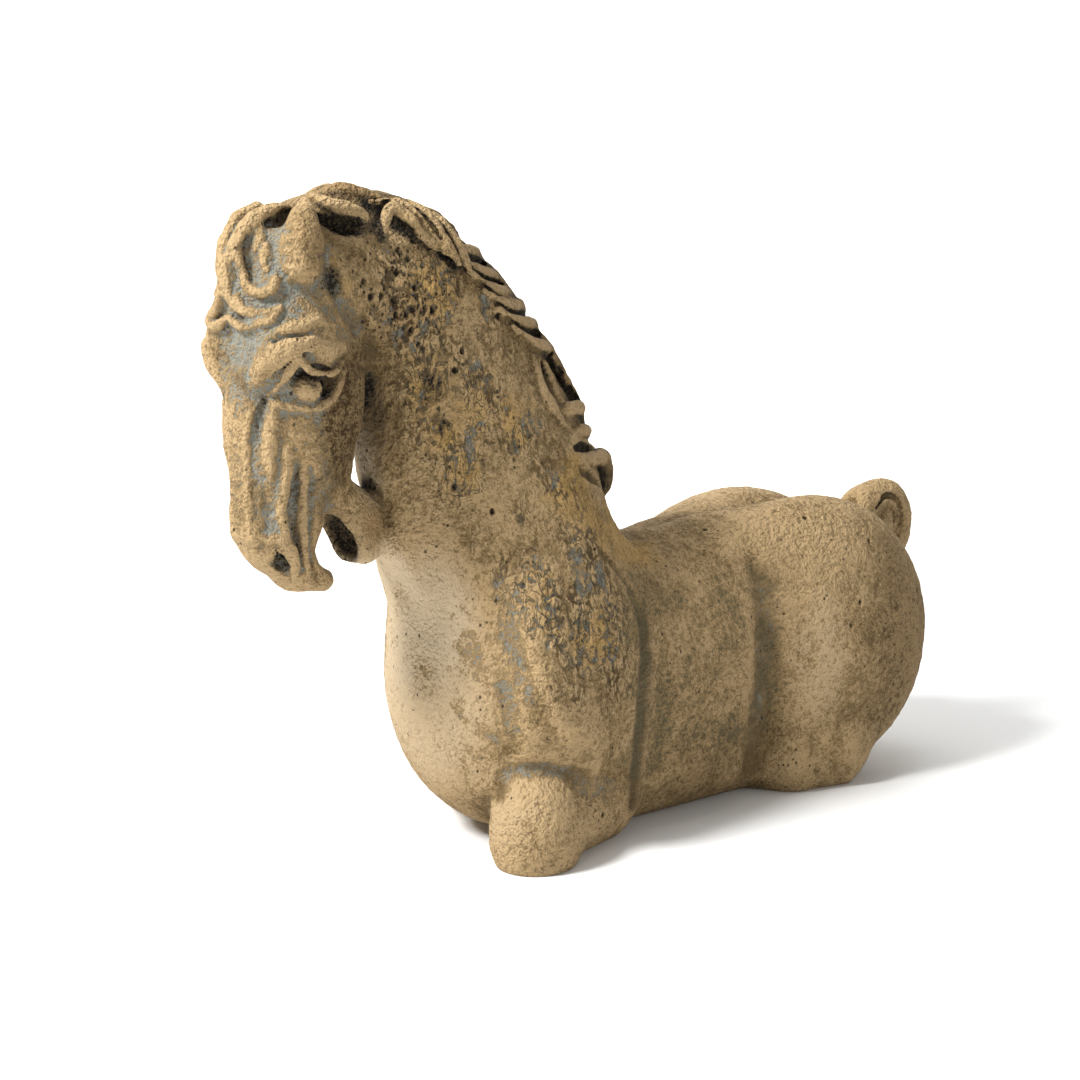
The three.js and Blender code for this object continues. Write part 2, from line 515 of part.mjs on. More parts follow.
// Thinning: edges are folded up in order of the least change that they make
function thinFacets({ positions, triangles }, target) {
  const vertexCount = positions.length / 3;
  const faceCount = triangles.length / 3;
  const p = Float64Array.from(positions);
  const t = Int32Array.from(triangles);
  const quadric = new Float64Array(vertexCount * 10);
  const facesOf = Array.from({ length: vertexCount }, () => []);
  const faceLive = new Uint8Array(faceCount).fill(1);
  const stamp = new Int32Array(vertexCount);
  const mark = new Int32Array(vertexCount);
  let pass = 0;

  // The cross product of two sides of a facet: its length is twice the facet's area
  const normal = new Float64Array(3);
  const measureFacet = (f) => {
    const a = 3 * t[3 * f];
    const b = 3 * t[3 * f + 1];
    const c = 3 * t[3 * f + 2];
    const ux = p[b] - p[a];
    const uy = p[b + 1] - p[a + 1];
    const uz = p[b + 2] - p[a + 2];
    const vx = p[c] - p[a];
    const vy = p[c + 1] - p[a + 1];
    const vz = p[c + 2] - p[a + 2];
    normal[0] = uy * vz - uz * vy;
    normal[1] = uz * vx - ux * vz;
    normal[2] = ux * vy - uy * vx;
    return lengthOf(normal[0], normal[1], normal[2]);
  };

  const plane = new Float64Array(4);
  for (let f = 0; f < faceCount; f += 1) {
    const size = measureFacet(f) || 1e-12;
    const a = 3 * t[3 * f];
    for (let i = 0; i < 3; i += 1) plane[i] = normal[i] / size;
    plane[3] = -(plane[0] * p[a] + plane[1] * p[a + 1] + plane[2] * p[a + 2]);
    for (let corner = 0; corner < 3; corner += 1) {
      const vertex = t[3 * f + corner];
      facesOf[vertex].push(f);
      let slot = vertex * 10;
      for (let i = 0; i < 4; i += 1) {
        for (let j = i; j < 4; j += 1) {
          quadric[slot] += plane[i] * plane[j] * size;
          slot += 1;
        }
      }
    }
  }

  // The best place for the vertex that two are folded into, and what the fold costs
  const q = new Float64Array(10);
  const spot = new Float64Array(3);
  const foldCost = (a, b) => {
    for (let i = 0; i < 10; i += 1) q[i] = quadric[a * 10 + i] + quadric[b * 10 + i];
    let x = (p[3 * a] + p[3 * b]) / 2;
    let y = (p[3 * a + 1] + p[3 * b + 1]) / 2;
    let z = (p[3 * a + 2] + p[3 * b + 2]) / 2;
    const span = lengthOf(p[3 * a] - p[3 * b], p[3 * a + 1] - p[3 * b + 1], p[3 * a + 2] - p[3 * b + 2]);
    const c0 = q[4] * q[7] - q[5] * q[5];
    const c1 = q[2] * q[5] - q[1] * q[7];
    const c2 = q[1] * q[5] - q[2] * q[4];
    const det = q[0] * c0 + q[1] * c1 + q[2] * c2;
    const scale = (q[0] + q[4] + q[7]) / 3;
    if (Math.abs(det) > 1e-4 * scale * scale * scale) {
      const c4 = q[0] * q[7] - q[2] * q[2];
      const c5 = q[1] * q[2] - q[0] * q[5];
      const c8 = q[0] * q[4] - q[1] * q[1];
      const ox = -(c0 * q[3] + c1 * q[6] + c2 * q[8]) / det;
      const oy = -(c1 * q[3] + c4 * q[6] + c5 * q[8]) / det;
      const oz = -(c2 * q[3] + c5 * q[6] + c8 * q[8]) / det;
      if (lengthOf(ox - x, oy - y, oz - z) < span) {
        x = ox;
        y = oy;
        z = oz;
      }
    }
    spot[0] = x;
    spot[1] = y;
    spot[2] = z;
    const error = q[0] * x * x + q[4] * y * y + q[7] * z * z + q[9]
      + 2 * (q[1] * x * y + q[2] * x * z + q[5] * y * z + q[3] * x + q[6] * y + q[8] * z);
    return Math.max(0, error) + 1e-5 * span * span;
  };

  // Folds wait in a heap, cheapest first; one whose ends have moved since is stale
  const room = faceCount * 8;
  const heap = new Int32Array(room);
  const cost = new Float64Array(room);
  const endA = new Int32Array(room);
  const endB = new Int32Array(room);
  const stampA = new Int32Array(room);
  const stampB = new Int32Array(room);
  let entries = 0;
  let heapSize = 0;
  const offer = (a, b) => {
    const entry = entries;
    entries += 1;
    cost[entry] = foldCost(a, b);
    endA[entry] = a;
    endB[entry] = b;
    stampA[entry] = stamp[a];
    stampB[entry] = stamp[b];
    let at = heapSize;
    heapSize += 1;
    while (at > 0) {
      const parent = (at - 1) >> 1;
      if (cost[heap[parent]] <= cost[entry]) break;
      heap[at] = heap[parent];
      at = parent;
    }
    heap[at] = entry;
  };
  const takeCheapest = () => {
    const top = heap[0];
    heapSize -= 1;
    const last = heap[heapSize];
    let at = 0;
    for (;;) {
      let child = 2 * at + 1;
      if (child >= heapSize) break;
      if (child + 1 < heapSize && cost[heap[child + 1]] < cost[heap[child]]) child += 1;
      if (cost[heap[child]] >= cost[last]) break;
      heap[at] = heap[child];
      at = child;
    }
    heap[at] = last;
    return top;
  };

  const hasCorner = (f, vertex) => t[3 * f] === vertex || t[3 * f + 1] === vertex || t[3 * f + 2] === vertex;

  // A fold is refused where it would pinch the skin or turn a facet over
  const staysClosed = (a, b) => {
    pass += 1;
    for (const f of facesOf[a]) for (let i = 0; i < 3; i += 1) mark[t[3 * f + i]] = pass;
    mark[a] = 0;
    mark[b] = 0;
    let shared = 0;
    for (const f of facesOf[b]) {
      for (let i = 0; i < 3; i += 1) {
        const vertex = t[3 * f + i];
        if (mark[vertex] === pass) {
          shared += 1;
          mark[vertex] = 0;
        }
      }
    }
    return shared === 2 && facesOf[a].length + facesOf[b].length > 7;
  };
  const staysOutward = (vertex, other, x, y, z) => {
    for (const f of facesOf[vertex]) {
      if (hasCorner(f, other)) continue;
      const before = measureFacet(f);
      const [bx, by, bz] = normal;
      const [px, py, pz] = p.subarray(3 * vertex, 3 * vertex + 3);
      p[3 * vertex] = x;
      p[3 * vertex + 1] = y;
      p[3 * vertex + 2] = z;
      const after = measureFacet(f);
      p[3 * vertex] = px;
      p[3 * vertex + 1] = py;
      p[3 * vertex + 2] = pz;
      const dot = bx * normal[0] + by * normal[1] + bz * normal[2];
      if (after < 1e-3 || dot < 0.35 * before * after) return false;
    }
    return true;
  };

  for (let f = 0; f < faceCount; f += 1) {
    for (let i = 0; i < 3; i += 1) {
      const a = t[3 * f + i];
      const b = t[3 * f + ((i + 1) % 3)];
      if (a < b) offer(a, b);
    }
  }
  let remaining = faceCount;
  while (remaining > target && heapSize > 0) {
    const entry = takeCheapest();
    const a = endA[entry];
    const b = endB[entry];
    if (stamp[a] !== stampA[entry] || stamp[b] !== stampB[entry]) continue;
    if (!staysClosed(a, b)) continue;
    foldCost(a, b);
    const [x, y, z] = spot;
    if (!staysOutward(a, b, x, y, z) || !staysOutward(b, a, x, y, z)) continue;
    p[3 * a] = x;
    p[3 * a + 1] = y;
    p[3 * a + 2] = z;
    for (let i = 0; i < 10; i += 1) quadric[a * 10 + i] += quadric[b * 10 + i];
    for (const f of facesOf[b]) {
      if (hasCorner(f, a)) {
        faceLive[f] = 0;
        remaining -= 1;
      } else {
        for (let i = 0; i < 3; i += 1) if (t[3 * f + i] === b) t[3 * f + i] = a;
        facesOf[a].push(f);
      }
    }
    facesOf[b] = [];
    stamp[b] = -1;
    stamp[a] += 1;
    facesOf[a] = facesOf[a].filter((f) => faceLive[f]);
    pass += 1;
    mark[a] = pass;
    for (const f of facesOf[a]) {
      for (let i = 0; i < 3; i += 1) {
        const vertex = t[3 * f + i];
        if (mark[vertex] === pass) continue;
        mark[vertex] = pass;
        facesOf[vertex] = facesOf[vertex].filter((face) => faceLive[face]);
        offer(a, vertex);
      }
    }
  }

  const renumber = new Map();
  const keptPositions = [];
  const keptTriangles = [];
  for (let f = 0; f < faceCount; f += 1) {
    if (!faceLive[f]) continue;
    for (let i = 0; i < 3; i += 1) {
      const v = t[3 * f + i];
      if (!renumber.has(v)) {
        renumber.set(v, keptPositions.length / 3);
        keptPositions.push(p[3 * v], p[3 * v + 1], p[3 * v + 2]);
      }
      keptTriangles.push(renumber.get(v));
    }
  }
  return { positions: keptPositions, triangles: keptTriangles };
}

// The feet are cut off flat on the ground plane, in millimetres
const wasm = await Module();
wasm.setup();

function solidFromMesh(positions, triangles) {
  const vertProperties = Float32Array.from(positions);
  const triVerts = Uint32Array.from(triangles);
  return new wasm.Manifold(new wasm.Mesh({ numProp: 3, vertProperties, triVerts }));
}

function groundSolid() {
  const depth = height / 5;
  const box = new THREE.BoxGeometry(2 * width, 2 * length, depth);
  box.translate(0, 0, -depth / 2);
  box.deleteAttribute('normal');
  box.deleteAttribute('uv');
  const merged = mergeVertices(box);
  return solidFromMesh(merged.attributes.position.array, merged.index.array);
}

function geometryFromSolid(solid) {
  const mesh = solid.getMesh();
  const geometry = new THREE.BufferGeometry();
  geometry.setAttribute('position', new THREE.BufferAttribute(mesh.vertProperties, 3));
  geometry.setIndex(new THREE.BufferAttribute(mesh.triVerts, 1));
  geometry.computeVertexNormals();
  return geometry;
}

const skin = thinFacets(facetField(sampleField()), facetBudget);
const scale = [width / widthShare, length / lengthShare, height / 100];
const placed = skin.positions.map((value, i) => (value - (i % 3 === 1 ? middleY : 0)) * scale[i % 3]);
const body = solidFromMesh(placed, skin.triangles);
const horseGeometry = geometryFromSolid(body.subtract(groundSolid()));

const firedClay = new THREE.MeshStandardMaterial({ color: 0xa98a60, roughness: 0.9, metalness: 0 });
const horse = new THREE.Mesh(horseGeometry, firedClay);
horse.name = 'horse';

const group = new THREE.Group();
group.add(horse);

export default group;
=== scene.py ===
# A Chinese tomb horse of aged clay, lying with its legs folded under it.
# The imported solid gives the frame. This script models the same figure again, stroke by
# stroke, in a finer field with hair, lids, wrinkles and pits, and paints it as old clay,
# with some light and shade painted into its colour.
import math
import bpy
import numpy as np
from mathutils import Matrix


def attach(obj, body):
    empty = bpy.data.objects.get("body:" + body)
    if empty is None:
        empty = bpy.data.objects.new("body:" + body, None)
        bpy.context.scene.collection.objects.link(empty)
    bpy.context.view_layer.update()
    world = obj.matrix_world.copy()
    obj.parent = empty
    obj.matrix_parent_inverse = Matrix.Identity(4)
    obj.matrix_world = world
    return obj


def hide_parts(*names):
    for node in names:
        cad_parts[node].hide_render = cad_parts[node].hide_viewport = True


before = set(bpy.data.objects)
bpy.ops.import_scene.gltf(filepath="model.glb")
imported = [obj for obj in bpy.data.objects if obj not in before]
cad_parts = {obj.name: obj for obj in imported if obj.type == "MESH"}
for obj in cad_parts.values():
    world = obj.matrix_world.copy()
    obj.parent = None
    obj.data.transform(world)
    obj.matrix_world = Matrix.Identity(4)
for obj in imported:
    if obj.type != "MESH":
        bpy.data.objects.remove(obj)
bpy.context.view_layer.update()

# The figure is laid out in shares of its height, as the solid is. These are its real
# sizes in metres, and its length and width in shares.
HEIGHT = 0.320
LENGTH = 0.474
WIDTH = 0.147
LENGTH_SHARE = 148.1
WIDTH_SHARE = 45.95
MIDDLE = np.array([0.0, -1.95, 0.0])
SCALE = np.array([WIDTH / WIDTH_SHARE, LENGTH / LENGTH_SHARE, HEIGHT / 100])

# Fineness of the skin: grid spacing in shares, cells along a block, and triangles kept
STEP = 0.3
BLOCK = 8
TRIANGLES = 195000

HEAD_TURN = math.radians(10)
HEAD_PIVOT = np.array([0.0, -55.0, 0.0])
SIDES = (1, -1)


# Curves

def smooth_points(points, count):
    """Points along a centripetal Catmull-Rom curve, evenly spaced in its parameter."""
    points = np.asarray(points, float)
    last = len(points) - 1
    padded = np.vstack([2 * points[0] - points[1], points, 2 * points[-1] - points[-2]])
    result = []
    for t in np.linspace(0, last, count + 1):
        span = min(int(t), last - 1)
        w = t - span
        p0, p1, p2, p3 = padded[span:span + 4]
        d0, d1, d2 = (max(np.linalg.norm(b - a), 1e-4) ** 0.5 for a, b in ((p0, p1), (p1, p2), (p2, p3)))
        lead = ((p1 - p0) / d0 - (p2 - p0) / (d0 + d1) + (p2 - p1) / d1) * d1
        trail = ((p2 - p1) / d1 - (p3 - p1) / (d1 + d2) + (p3 - p2) / d2) * d1
        c2 = -3 * p1 + 3 * p2 - 2 * lead - trail
        c3 = 2 * p1 - 2 * p2 + lead + trail
        result.append(p1 + w * lead + w * w * c2 + w ** 3 * c3)
    return np.array(result)


def even_curve(points, count=200):
    """The curve as a function of the share of its length, with its direction."""
    knots = smooth_points(points, count)
    steps = np.linalg.norm(np.diff(knots, axis=0), axis=1)
    share = np.concatenate([[0], np.cumsum(steps)]) / steps.sum()

    def at(u):
        u = min(max(u, 0.0), 1.0)
        place = np.array([np.interp(u, share, knots[:, axis]) for axis in range(3)])
        ahead = np.array([np.interp(min(u + 0.01, 1), share, knots[:, axis]) for axis in range(3)])
        behind = np.array([np.interp(max(u - 0.01, 0), share, knots[:, axis]) for axis in range(3)])
        run = ahead - behind
        return place, run / np.linalg.norm(run)

    return at


def on(side, points):
    """Points given for the near side, on the side asked for."""
    return [[side * x, y, z] for x, y, z in points]


# Strokes: each has a box that holds it and a distance function over many points

def lump(centre, radii, tilt=0.0):
    centre = np.array(centre, np.float32)
    rx, ry, rz = radii
    c, s = math.cos(math.radians(tilt)), math.sin(math.radians(tilt))

    def distance(p):
        d = p - centre
        x, y, z = d[:, 0], d[:, 1] * c + d[:, 2] * s, d[:, 2] * c - d[:, 1] * s
        near = np.sqrt((x / rx) ** 2 + (y / ry) ** 2 + (z / rz) ** 2)
        slope = np.sqrt((x / rx ** 2) ** 2 + (y / ry ** 2) ** 2 + (z / rz ** 2) ** 2)
        middle = slope < 1e-6
        return np.where(middle, -min(radii), near * (near - 1) / np.where(middle, 1, slope))

    reach = np.array([rx, max(ry, rz), max(ry, rz)] if tilt else radii)
    return centre - reach, centre + reach, distance


def block(centre, halves, rounding, tilt=0.0):
    centre = np.array(centre, np.float32)
    half = np.array(halves, np.float32) - rounding
    c, s = math.cos(math.radians(tilt)), math.sin(math.radians(tilt))

    def distance(p):
        d = p - centre
        q = np.stack([d[:, 0], d[:, 1] * c + d[:, 2] * s, d[:, 2] * c - d[:, 1] * s], axis=1)
        q = np.abs(q) - half
        outside = np.linalg.norm(np.maximum(q, 0), axis=1)
        return outside + np.minimum(q.max(axis=1), 0) - rounding

    reach = np.full(3, np.linalg.norm(halves))
    return centre - reach, centre + reach, distance


def cone_distance(p, a, b, ra, rb):
    run = (b - a).astype(np.float32)
    away = p - a.astype(np.float32)
    t = np.clip(away @ run / float(run @ run), 0, 1)
    away -= t[:, None] * run
    return np.sqrt(np.einsum("ij,ij->i", away, away)) - (ra + (rb - ra) * t)


def limb(a, ra, b, rb):
    a, b = np.array(a, float), np.array(b, float)
    wide = max(ra, rb)
    low, high = np.minimum(a, b) - wide, np.maximum(a, b) + wide
    return low, high, lambda p: cone_distance(p, a, b, ra, rb)


def cord(points, radii, pieces=None):
    """A tapering cord along a smooth curve: a lock of hair, a lid, a vein or a groove."""
    pieces = pieces or 3 * (len(points) - 1)
    knots = smooth_points(points, pieces)
    thickness = np.interp(np.linspace(0, 1, pieces + 1), np.linspace(0, 1, len(radii)), radii)

    def distance(p):
        best = np.full(len(p), 1e3, np.float32)
        for i in range(pieces):
            part = cone_distance(p, knots[i], knots[i + 1], thickness[i], thickness[i + 1])
            np.minimum(best, part, out=best)
        return best

    wide = max(radii)
    return knots.min(axis=0) - wide, knots.max(axis=0) + wide, distance


# The sculpture is an ordered list of strokes
strokes = []


def add(stroke, soft, in_head=False):
    strokes.append((*stroke, soft, in_head, False))


def cut(stroke, soft, in_head=False):
    strokes.append((*stroke, soft, in_head, True))


def add_head(stroke, soft):
    add(stroke, soft, True)


def cut_head(stroke, soft):
    cut(stroke, soft, True)


def shape_trunk():
    add(lump([0, 8, 25], [17, 42, 21.5]), 0)
    add(block([0, 3, 19.2], [16.5, 31, 20.2], 12.2), 4)
    add(lump([0, -23.2, 26], [19.5, 23, 26]), 6)


def shape_haunches():
    add(lump([0, 20, 29.5], [14, 26, 19]), 5)
    add(lump([0, 37, 28.5], [12, 20, 20]), 4)
    for side in SIDES:
        add(lump([side * 8.5, 29, 36], [9.5, 21, 13.7]), 4)
        add(lump([side * 9.5, 37.3, 24.6], [13.5, 23.7, 24.4]), 5)
        add(limb([side * 12.8, 33, 6], 8.7, [side * 12.6, 26, 4.4], 6.4), 4.5)


def shape_shoulders():
    for side in SIDES:
        add(lump([side * 10.5, -27, 27], [10.5, 13.5, 25]), 3)


def shape_neck():
    add(lump([0, -27, 45], [15, 18, 20]), 7)
    add(lump([0, -32.6, 60], [12.5, 19.4, 17]), 7)
    add(lump([0, -37.6, 50.6], [9, 12.4, 9.2]), 4)
    for side in SIDES:
        add(lump([side * 4.3, -38.5, 44.5], [5.2, 7.8, 8]), 3)
    add(lump([0, -39, 76], [10, 15.5, 16], 20), 7)
    add(lump([0, -49, 86], [9, 12, 10]), 6)


def shape_forelegs():
    add(limb([14.8, -31, 5.5], 6.6, [11.4, -17.8, 5.5], 6.5), 3)
    add(lump([16.1, -33, 4.8], [6.8, 7.2, 9.4]), 2)
    add(limb([-10.5, -22, 5.5], 6.5, [-10.5, -14, 5.5], 6.5), 4)


def shape_tail():
    curl = [[0, 54, 43.6], [0, 60.2, 46.7], [0, 65.8, 47.2], [0, 69, 43.3], [0, 68, 38], [0, 65, 36.4]]
    add(cord(curl, [3.9, 3.5, 3.2, 3, 2.8, 2.4]), 2)
    add(lump([0, 64, 42.4], [2.8, 3.8, 4.6]), 1.5)
    for side in SIDES:
        cut(cord(on(side, [[3.1, 58.6, 45.6], [3, 61.4, 47.6], [3, 64.6, 47.2], [3, 66.8, 44.8],
            [2.8, 67.2, 41.4]]), [0.4, 0.6, 0.6, 0.4]), 0.3)
        cut(cord(on(side, [[3, 61, 42.6], [3.1, 62.8, 45], [3.1, 64.8, 44.8], [3, 65.6, 42.6],
            [2.8, 65, 40]]), [0.4, 0.65, 0.65, 0.4]), 0.3)


def carve_body():
    """The folds of back, flank, shoulder and chest, with a softer shoulder crease on the far side."""
    cut(cord([[0, 4, 48.4], [0, 20, 50], [0, 40, 50.2], [0, 54, 46]], [0.6, 1.4, 1.6, 1.4]), 3.5)
    for side in SIDES:
        cut(cord(on(side, [[22, 18, 40], [23, 17.5, 28], [22.4, 17, 18], [21, 13, 7]]), [2, 4, 4, 3]), 6)
        cut(cord(on(side, [[16.6, -14, 51], [19.4, -10.5, 41], [21, -8.6, 32], [21, -8.6, 25],
            [19.6, -9, 11]]), [1.4, 2.8, 3, 2.8]), 2.5)
        cut(cord(on(side, [[15.4, 13.8, 41.4], [17.6, 14.8, 36.5], [18.6, 15.5, 29.7],
            [18.6, 15.3, 22.9], [17.8, 15.4, 15.8], [17, 14.8, 9.8], [16, 14.6, 5]]),
            [0.6, 1.8, 2.4, 2.5, 2.4, 2.2, 1.5]), 3)
        cut(cord(on(side, [[16.6, -20.9, 46.4], [16, -14.6, 41], [17.5, -12.6, 35.6],
            [19.1, -13.2, 30.5], [19.6, -13.8, 25.9], [19.2, -14, 19.5], [18.2, -13.9, 13.3],
            [17.5, -14.4, 5.9]]), [0.3, 0.8, 1.2, 1.4, 1.4, 1.4, 1.2, 0.9]), 1 if side > 0 else 3.5)
        cut(cord(on(side, [[15.6, -40, 31.9], [16.6, -39.4, 27.5], [17.2, -38.4, 21.5],
            [16, -38.4, 16.7], [13.6, -38.6, 11]]), [0.3, 0.9, 1.1, 1.1, 0.8]), 1.6)
        add(cord(on(side, [[17.4, -36, 38], [18.9, -35.3, 32.2], [19.8, -33.4, 26.1],
            [20.2, -30.4, 21.3], [19.8, -28.6, 18]]), [0.4, 0.8, 1, 0.9, 0.4]), 1.8)
        cut(cord(on(side, [[18.6, -42.6, 40], [18.4, -40.6, 28], [17, -41.2, 19], [14, -40.8, 12]]),
            [0.8, 2.4, 2.6, 2]), 2)
    add(cord([[16.6, -33.4, 42], [18.6, -32, 31], [19.2, -27.6, 22], [18.2, -25.5, 16]],
             [0.6, 1.5, 1.5, 0.6]), 5)
    cut(cord([[13, -39.2, 11.5], [15.5, -37.6, 14.8], [18.8, -33.4, 15.2], [20.2, -26.6, 13],
              [19.6, -20.4, 8.4]], [0.8, 1, 0.9, 0.6]), 1.2)


def shape_skull():
    add_head(lump([0, -8.5, 84], [8.5, 11.5, 12]), 5)
    add_head(lump([0, -11, 68], [7, 8.5, 13]), 4)
    add_head(lump([0, -12, 55], [5.3, 6.2, 9]), 3)
    add_head(block([0, -15.9, 62.8], [2.9, 3.5, 12], 1.4, -0.5), 1.5)
    add_head(limb([0, -15, 51.2], 3.3, [0, -9.8, 46.6], 2.7), 2)
    add_head(lump([0, -13.8, 50.2], [4.7, 3.6, 4.2], 38), 1.5)
    for side in SIDES:
        add_head(lump([side * 5.4, -13.2, 77.2], [4.6, 5.8, 5.6]), 4)
        add_head(lump([side * 3.8, -8.1, 69], [4.5, 7, 11], -14), 2.5)


def shape_jaw():
    for side in SIDES:
        add_head(lump([side * 2.4, -5.5, 61.5], [3, 3.8, 5]), 2)
    add_head(limb([0, -4.6, 58], 3.3, [0, 1.2, 53.2], 3.1), 2)
    add_head(block([0, 1.1, 50.7], [3.9, 3.4, 4.9], 2.5, 32), 2)
    cut_head(lump([0, -2, 49.9], [3, 3.2, 4.2], 32), 0.5)
    add_head(limb([0, -10.4, 46], 2.7, [0, -5.2, 44.1], 1.7), 2)
    cut_head(limb([-6, -4.7, 50.8], 1.1, [6, -4.7, 50.8], 1.1), 0.8)


def carve_eyes():
    for side in SIDES:
        add_head(cord(on(side, [[3.7, -18.5, 72.6], [5.4, -18.6, 74.8], [7, -17.4, 76.6],
            [8.4, -15.8, 77.6], [9, -13.6, 77.9], [8.9, -11, 77.2], [8.2, -8.4, 77.4]]),
            [0.8, 1.3, 1.6, 1.7, 1.6, 1.4, 0.7]), 1.5)
        cut_head(lump([side * 8.9, -13.1, 72.7], [2.3, 3.6, 2.4]), 0.7)
        add_head(lump([side * 7.4, -13.2, 71.9], [2, 2.1, 2]), 0.2)
        add_head(cord(on(side, [[4.6, -17.7, 70.7], [6, -17.2, 72], [7.3, -16.7, 73.3],
            [8.4, -16.1, 74.8], [9.2, -15.6, 76], [9.7, -15.1, 74.9], [9.8, -14.3, 74.2],
            [9.6, -11.7, 73.7], [9.1, -9.4, 74.1], [8.5, -8, 75.3]]),
            [0.3, 0.5, 0.55, 0.6, 0.45, 0.55, 0.6, 0.55, 0.5, 0.3]), 0.3)
        cut_head(cord(on(side, [[6.6, -17.7, 73.6], [8.2, -16.9, 75.4], [9.4, -15.6, 76.7],
            [10.2, -13.8, 75.6], [10.1, -11.6, 74.9], [9.5, -9, 75.4], [9, -7.6, 76.4]]),
            [0.2, 0.35, 0.4, 0.5, 0.45, 0.35, 0.2]), 0.5)
        cut_head(cord(on(side, [[8.2, -15.3, 73.6], [9.2, -14.2, 73.9], [9.5, -12.2, 73.3],
            [9.4, -10.6, 72.7]]), [0.3, 0.45, 0.45, 0.3]), 0.3)
        cut_head(cord(on(side, [[9.2, -12.3, 70.2], [9.6, -10.8, 71.4], [9.6, -9.4, 73]]),
            [0.3, 0.5, 0.3]), 0.4)
        add_head(cord(on(side, [[4.8, -17.7, 70.2], [6.2, -16.3, 69.7], [7.4, -14.7, 69.3],
            [8.3, -12.4, 69.2], [8.8, -10, 70.4], [8.9, -8.6, 72.4], [8.6, -7.6, 74]]),
            [0.2, 0.25, 0.3, 0.4, 0.5, 0.5, 0.3]), 1)
        cut_head(cord(on(side, [[6.8, -18.8, 77.4], [8.2, -17.7, 78.6], [9.4, -16, 78.9],
            [10.4, -14.2, 79.3], [10.7, -12.2, 78.7], [10.3, -9.8, 78.6]]),
            [0.1, 0.25, 0.3, 0.35, 0.35, 0.15]), 0.5)
        add_head(cord(on(side, [[6.6, -18, 78.8], [8.2, -16.8, 79.8], [9.2, -14.8, 80.4],
            [9.4, -12.6, 80.6], [9.1, -10.2, 79.8]]), [0.3, 0.5, 0.6, 0.6, 0.3]), 1)
        cut_head(lump([side * 9.3, -13.4, 72.6], [0.5, 0.6, 0.4]), 0.3)


def carve_muzzle():
    for side in SIDES:
        cut_head(cord(on(side, [[4.6, -17.9, 70.2], [3.8, -18.4, 68], [3.3, -18.9, 65], [3, -19, 61.5],
            [2.9, -19, 57.5], [2.9, -18.7, 54]]), [0.4, 0.8, 0.9, 0.8, 0.6, 0.3]), 0.5)
        add_head(cord(on(side, [[5.3, -17, 69.2], [4.8, -17.2, 66.4], [4.5, -17.2, 63.4],
            [4.1, -16.9, 60.4], [3.7, -16.6, 57]]), [0.4, 0.7, 0.8, 0.7, 0.4]), 1.2)
        add_head(cord(on(side, [[6, -15.7, 63.6], [5.6, -15.3, 61], [5.4, -15.6, 58.3], [5, -15.9, 55.5],
            [4.9, -15.3, 52.7], [4.8, -14.8, 50.2]]), [0.2, 0.5, 0.7, 0.7, 0.6, 0.3]), 1.3)
        cut_head(cord(on(side, [[5.9, -13.9, 61.4], [5.3, -14, 58], [5.2, -14.2, 55.2],
            [4.9, -13.8, 52.4], [4.4, -12.8, 49.4], [3.4, -11.2, 46.4]]),
            [0.2, 0.5, 0.7, 0.7, 0.6, 0.3]), 0.9)
        add_head(cord(on(side, [[6, -12.8, 59.6], [5.3, -12.5, 55.8], [4.7, -12.1, 52.4],
            [4.1, -11.3, 49.4], [3.4, -10.2, 46.4]]), [0.2, 0.4, 0.45, 0.45, 0.3]), 1.1)
        cut_head(cord(on(side, [[6.8, -12.3, 61.2], [6.2, -11.3, 58.6], [5.3, -10.9, 55.4],
            [4.8, -10.9, 52.2], [4.1, -10.2, 49], [3.1, -8.8, 46.2], [1.9, -7, 43.9]]),
            [0.2, 0.45, 0.65, 0.7, 0.7, 0.5, 0.3]), 0.6)
        add_head(cord(on(side, [[3.2, -17.2, 51.4], [4.4, -15.9, 51.6], [4.6, -14, 49.6],
            [3.6, -12.7, 47], [2.6, -12.1, 45.4]]), [0.4, 0.6, 0.7, 0.6, 0.3]), 0.7)
        cut_head(cord(on(side, [[3.6, -15.8, 50.4], [3.1, -15, 49.1], [2.7, -14.3, 47.8],
            [2.5, -13.5, 46.3]]), [0.4, 1, 1.1, 0.4]), 0.4)
        cut_head(cord(on(side, [[6, -5.6, 60], [4.8, -4.3, 58], [3.7, -3.3, 56.1]]),
            [0.25, 0.45, 0.3]), 0.3)
        cut_head(cord(on(side, [[6.6, -7.6, 60.6], [5.2, -6.4, 57.4], [4.2, -6.6, 55]]),
            [0.2, 0.4, 0.2]), 0.4)


def carve_creases():
    for side in SIDES:
        cut_head(cord(on(side, [[8.6, -9.2, 87], [9, -7, 82.5], [8.4, -4, 80], [7.4, -1.2, 77.5],
            [6.8, 1, 74]]), [0.9, 1.1, 1, 1.1, 0.6]), 1.4)
        cut_head(lump([side * 7.5, -3.8, 80.2], [1, 1.6, 0.9], 20), 0.6)
        cut_head(lump([side * 4.2, -19.6, 88.5], [2.6, 2, 4]), 1.2)


def shape_ears():
    for side in SIDES:
        add_head(cord(on(side, [[7.1, -13.4, 88], [6.8, -13, 90.6], [6.2, -12.2, 93.2],
            [5.5, -11.3, 95.2], [5.1, -11, 96.4]]), [2.8, 3.1, 2.3, 1.5, 0.8]), 0.9)
        cut_head(cord(on(side, [[8, -10.6, 89.4], [8.2, -9.4, 87.4], [8.2, -8, 85.4]]),
            [0.5, 0.7, 0.5]), 0.4)


def shape_forelock():
    add_head(lump([0, -12, 87.6], [5.2, 7.1, 7], -20), 3)
    add_head(lump([0, -3, 93.5], [5.5, 8, 5]), 3)


